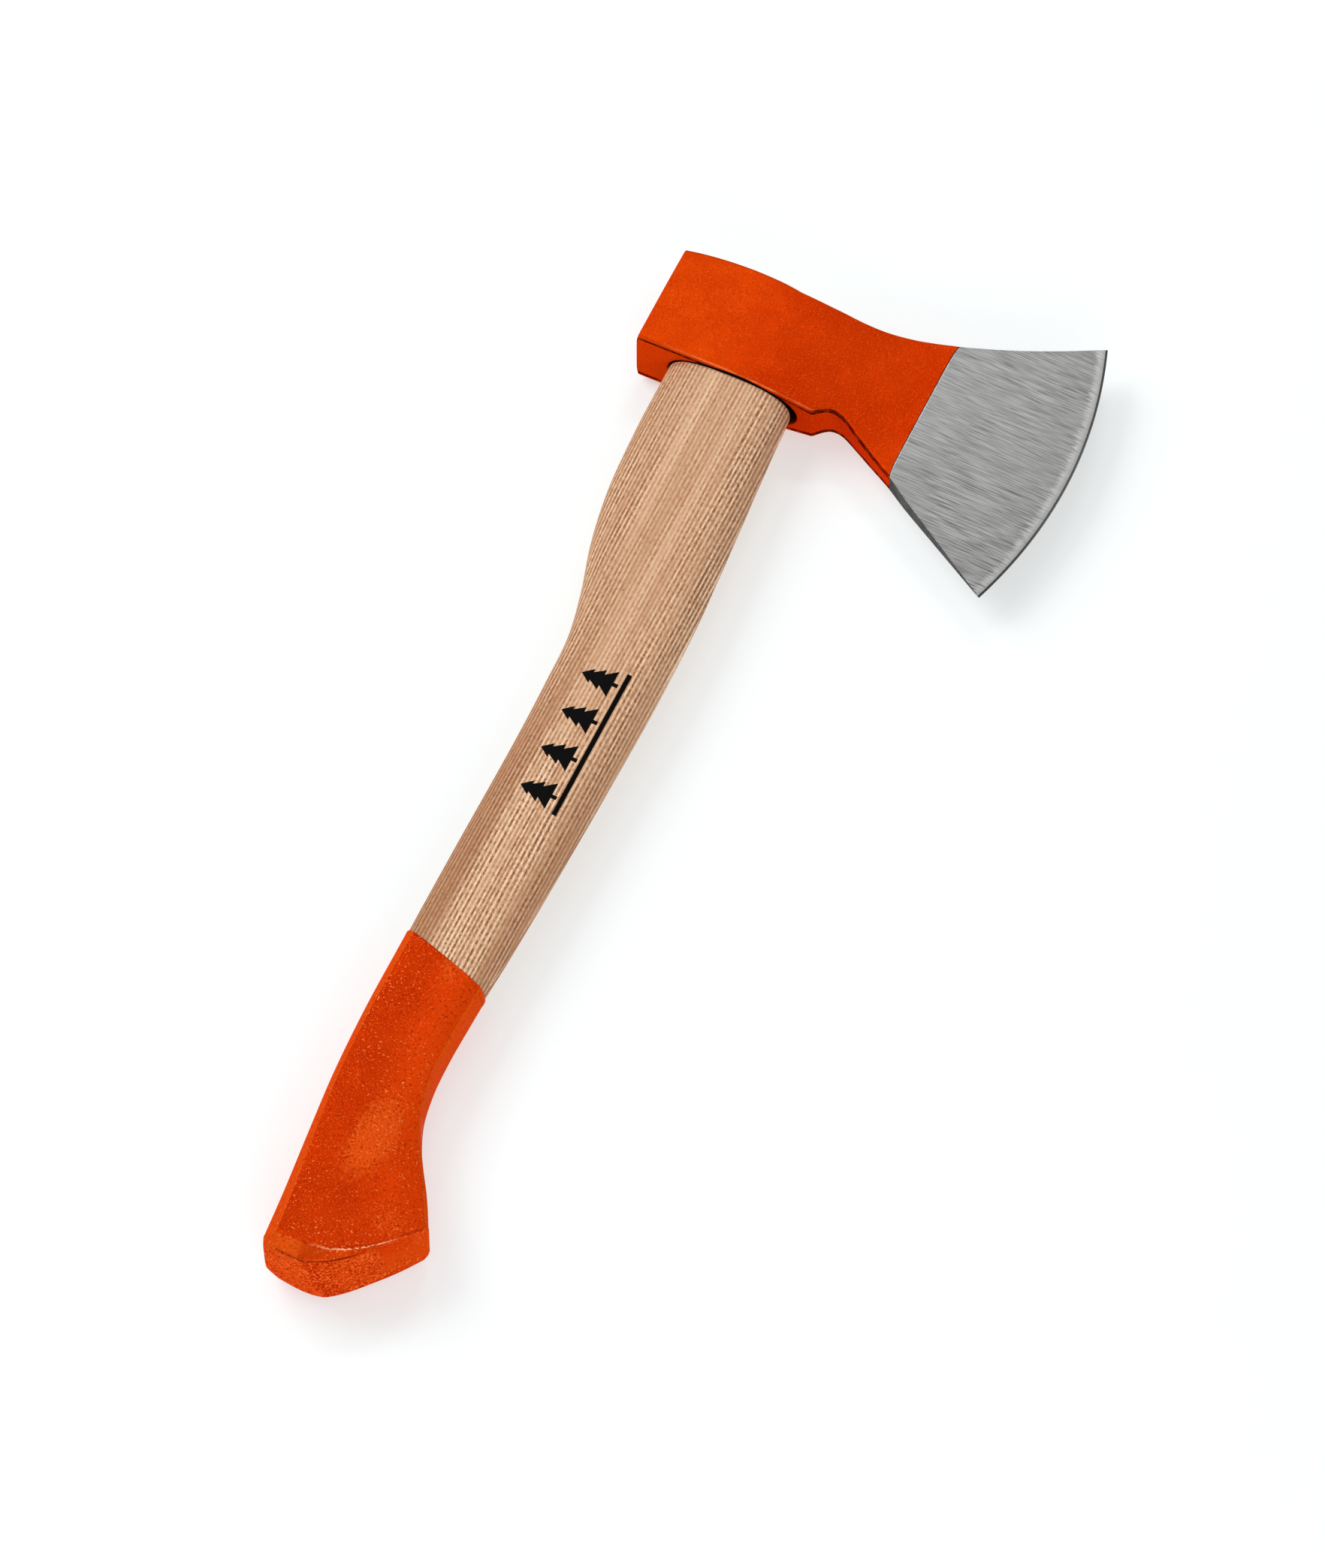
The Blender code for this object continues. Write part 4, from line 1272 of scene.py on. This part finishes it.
def make_floor():
    """Plain pale floor under the object."""
    look = Look("pale_floor", 0.9, specular=0.0)
    look.base(look.noise(3.0, 2.0), (0.51, 0.55, 0.555), (0.52, 0.56, 0.565))
    look.fill(look.shader, Base_Color=look.colour, Emission_Color=WHITE, Emission_Strength=FLOOR_GLOW)
    shape = bmesh.new()
    bmesh.ops.create_grid(shape, x_segments=1, y_segments=1, size=FLOOR_HALF)
    mesh = bpy.data.meshes.new("floor")
    shape.to_mesh(mesh)
    shape.free()
    mesh.materials.append(look.material)
    floor = add_object("floor", mesh)
    floor.location.z = cad_low.z


def aim(made, target, back, distance):
    """Puts an object at a distance from the target in the direction back, turned to the target."""
    made.location = target + back * distance
    made.rotation_mode = "QUATERNION"
    made.rotation_quaternion = (-back).to_track_quat("-Z", "Y")


def make_light(name, direction, distance, size, power, target):
    """A soft rectangular lamp that looks at the target from a direction."""
    lamp = bpy.data.lights.new(name, "AREA")
    lamp.shape = "RECTANGLE"
    lamp.size, lamp.size_y = size
    lamp.energy = power
    aim(add_object(name, lamp), target, Vector(direction).normalized(), distance)


def make_world():
    """Even white light from all round."""
    world = bpy.data.worlds.new("studio")
    world.use_nodes = True
    background = world.node_tree.nodes["Background"]
    background.inputs["Color"].default_value = WHITE
    background.inputs["Strength"].default_value = WORLD_STRENGTH
    bpy.context.scene.world = world


def make_camera(target):
    """A long lens from the front right, high above the object."""
    azimuth, elevation = math.radians(VIEW_AZIMUTH), math.radians(VIEW_ELEVATION)
    level = math.cos(elevation)
    back = Vector((math.sin(azimuth) * level, -math.cos(azimuth) * level, math.sin(elevation)))
    lens = bpy.data.cameras.new("camera")
    lens.lens = VIEW_LENS
    lens.sensor_width = 36.0
    lens.clip_end = 50.0
    camera = add_object("camera", lens)
    aim(camera, target, back, VIEW_DISTANCE)
    bpy.context.scene.camera = camera


def main():
    """Builds every piece, hides the part each one stands in for, then sets the stage."""
    black = print_ink()
    head = make_head(enamel(), ground_steel(), forge_scale())
    handle = make_handle(beech())
    coating = make_coating(dip_paint())
    sign = make_print(handle, black)
    wooden, driven = make_wedges(handle, wedge_wood(), wedge_steel())
    pieces = (
        (head, "head_steel", "axe_head"),
        (handle, "handle_wood", "handle"),
        (coating, "grip_paint", "grip_coating"),
        (wooden, "wedge_wood", "wooden_wedge"),
        (driven[0], "wedge_steel", "steel_wedge_rear"),
        (driven[1], "wedge_steel", "steel_wedge_front"),
    )
    for piece, slot, node in pieces:
        merge_slivers(piece)
        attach(piece, "root")
        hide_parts(node)
    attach(sign, "root")

    middle = Vector(VIEW_TARGET) * MM + ORIGIN
    make_floor()
    make_world()
    for name, lamp in LAMPS.items():
        make_light(name, *lamp, middle)
    make_camera(middle)
    bpy.context.scene.view_settings.view_transform = "Standard"


main()
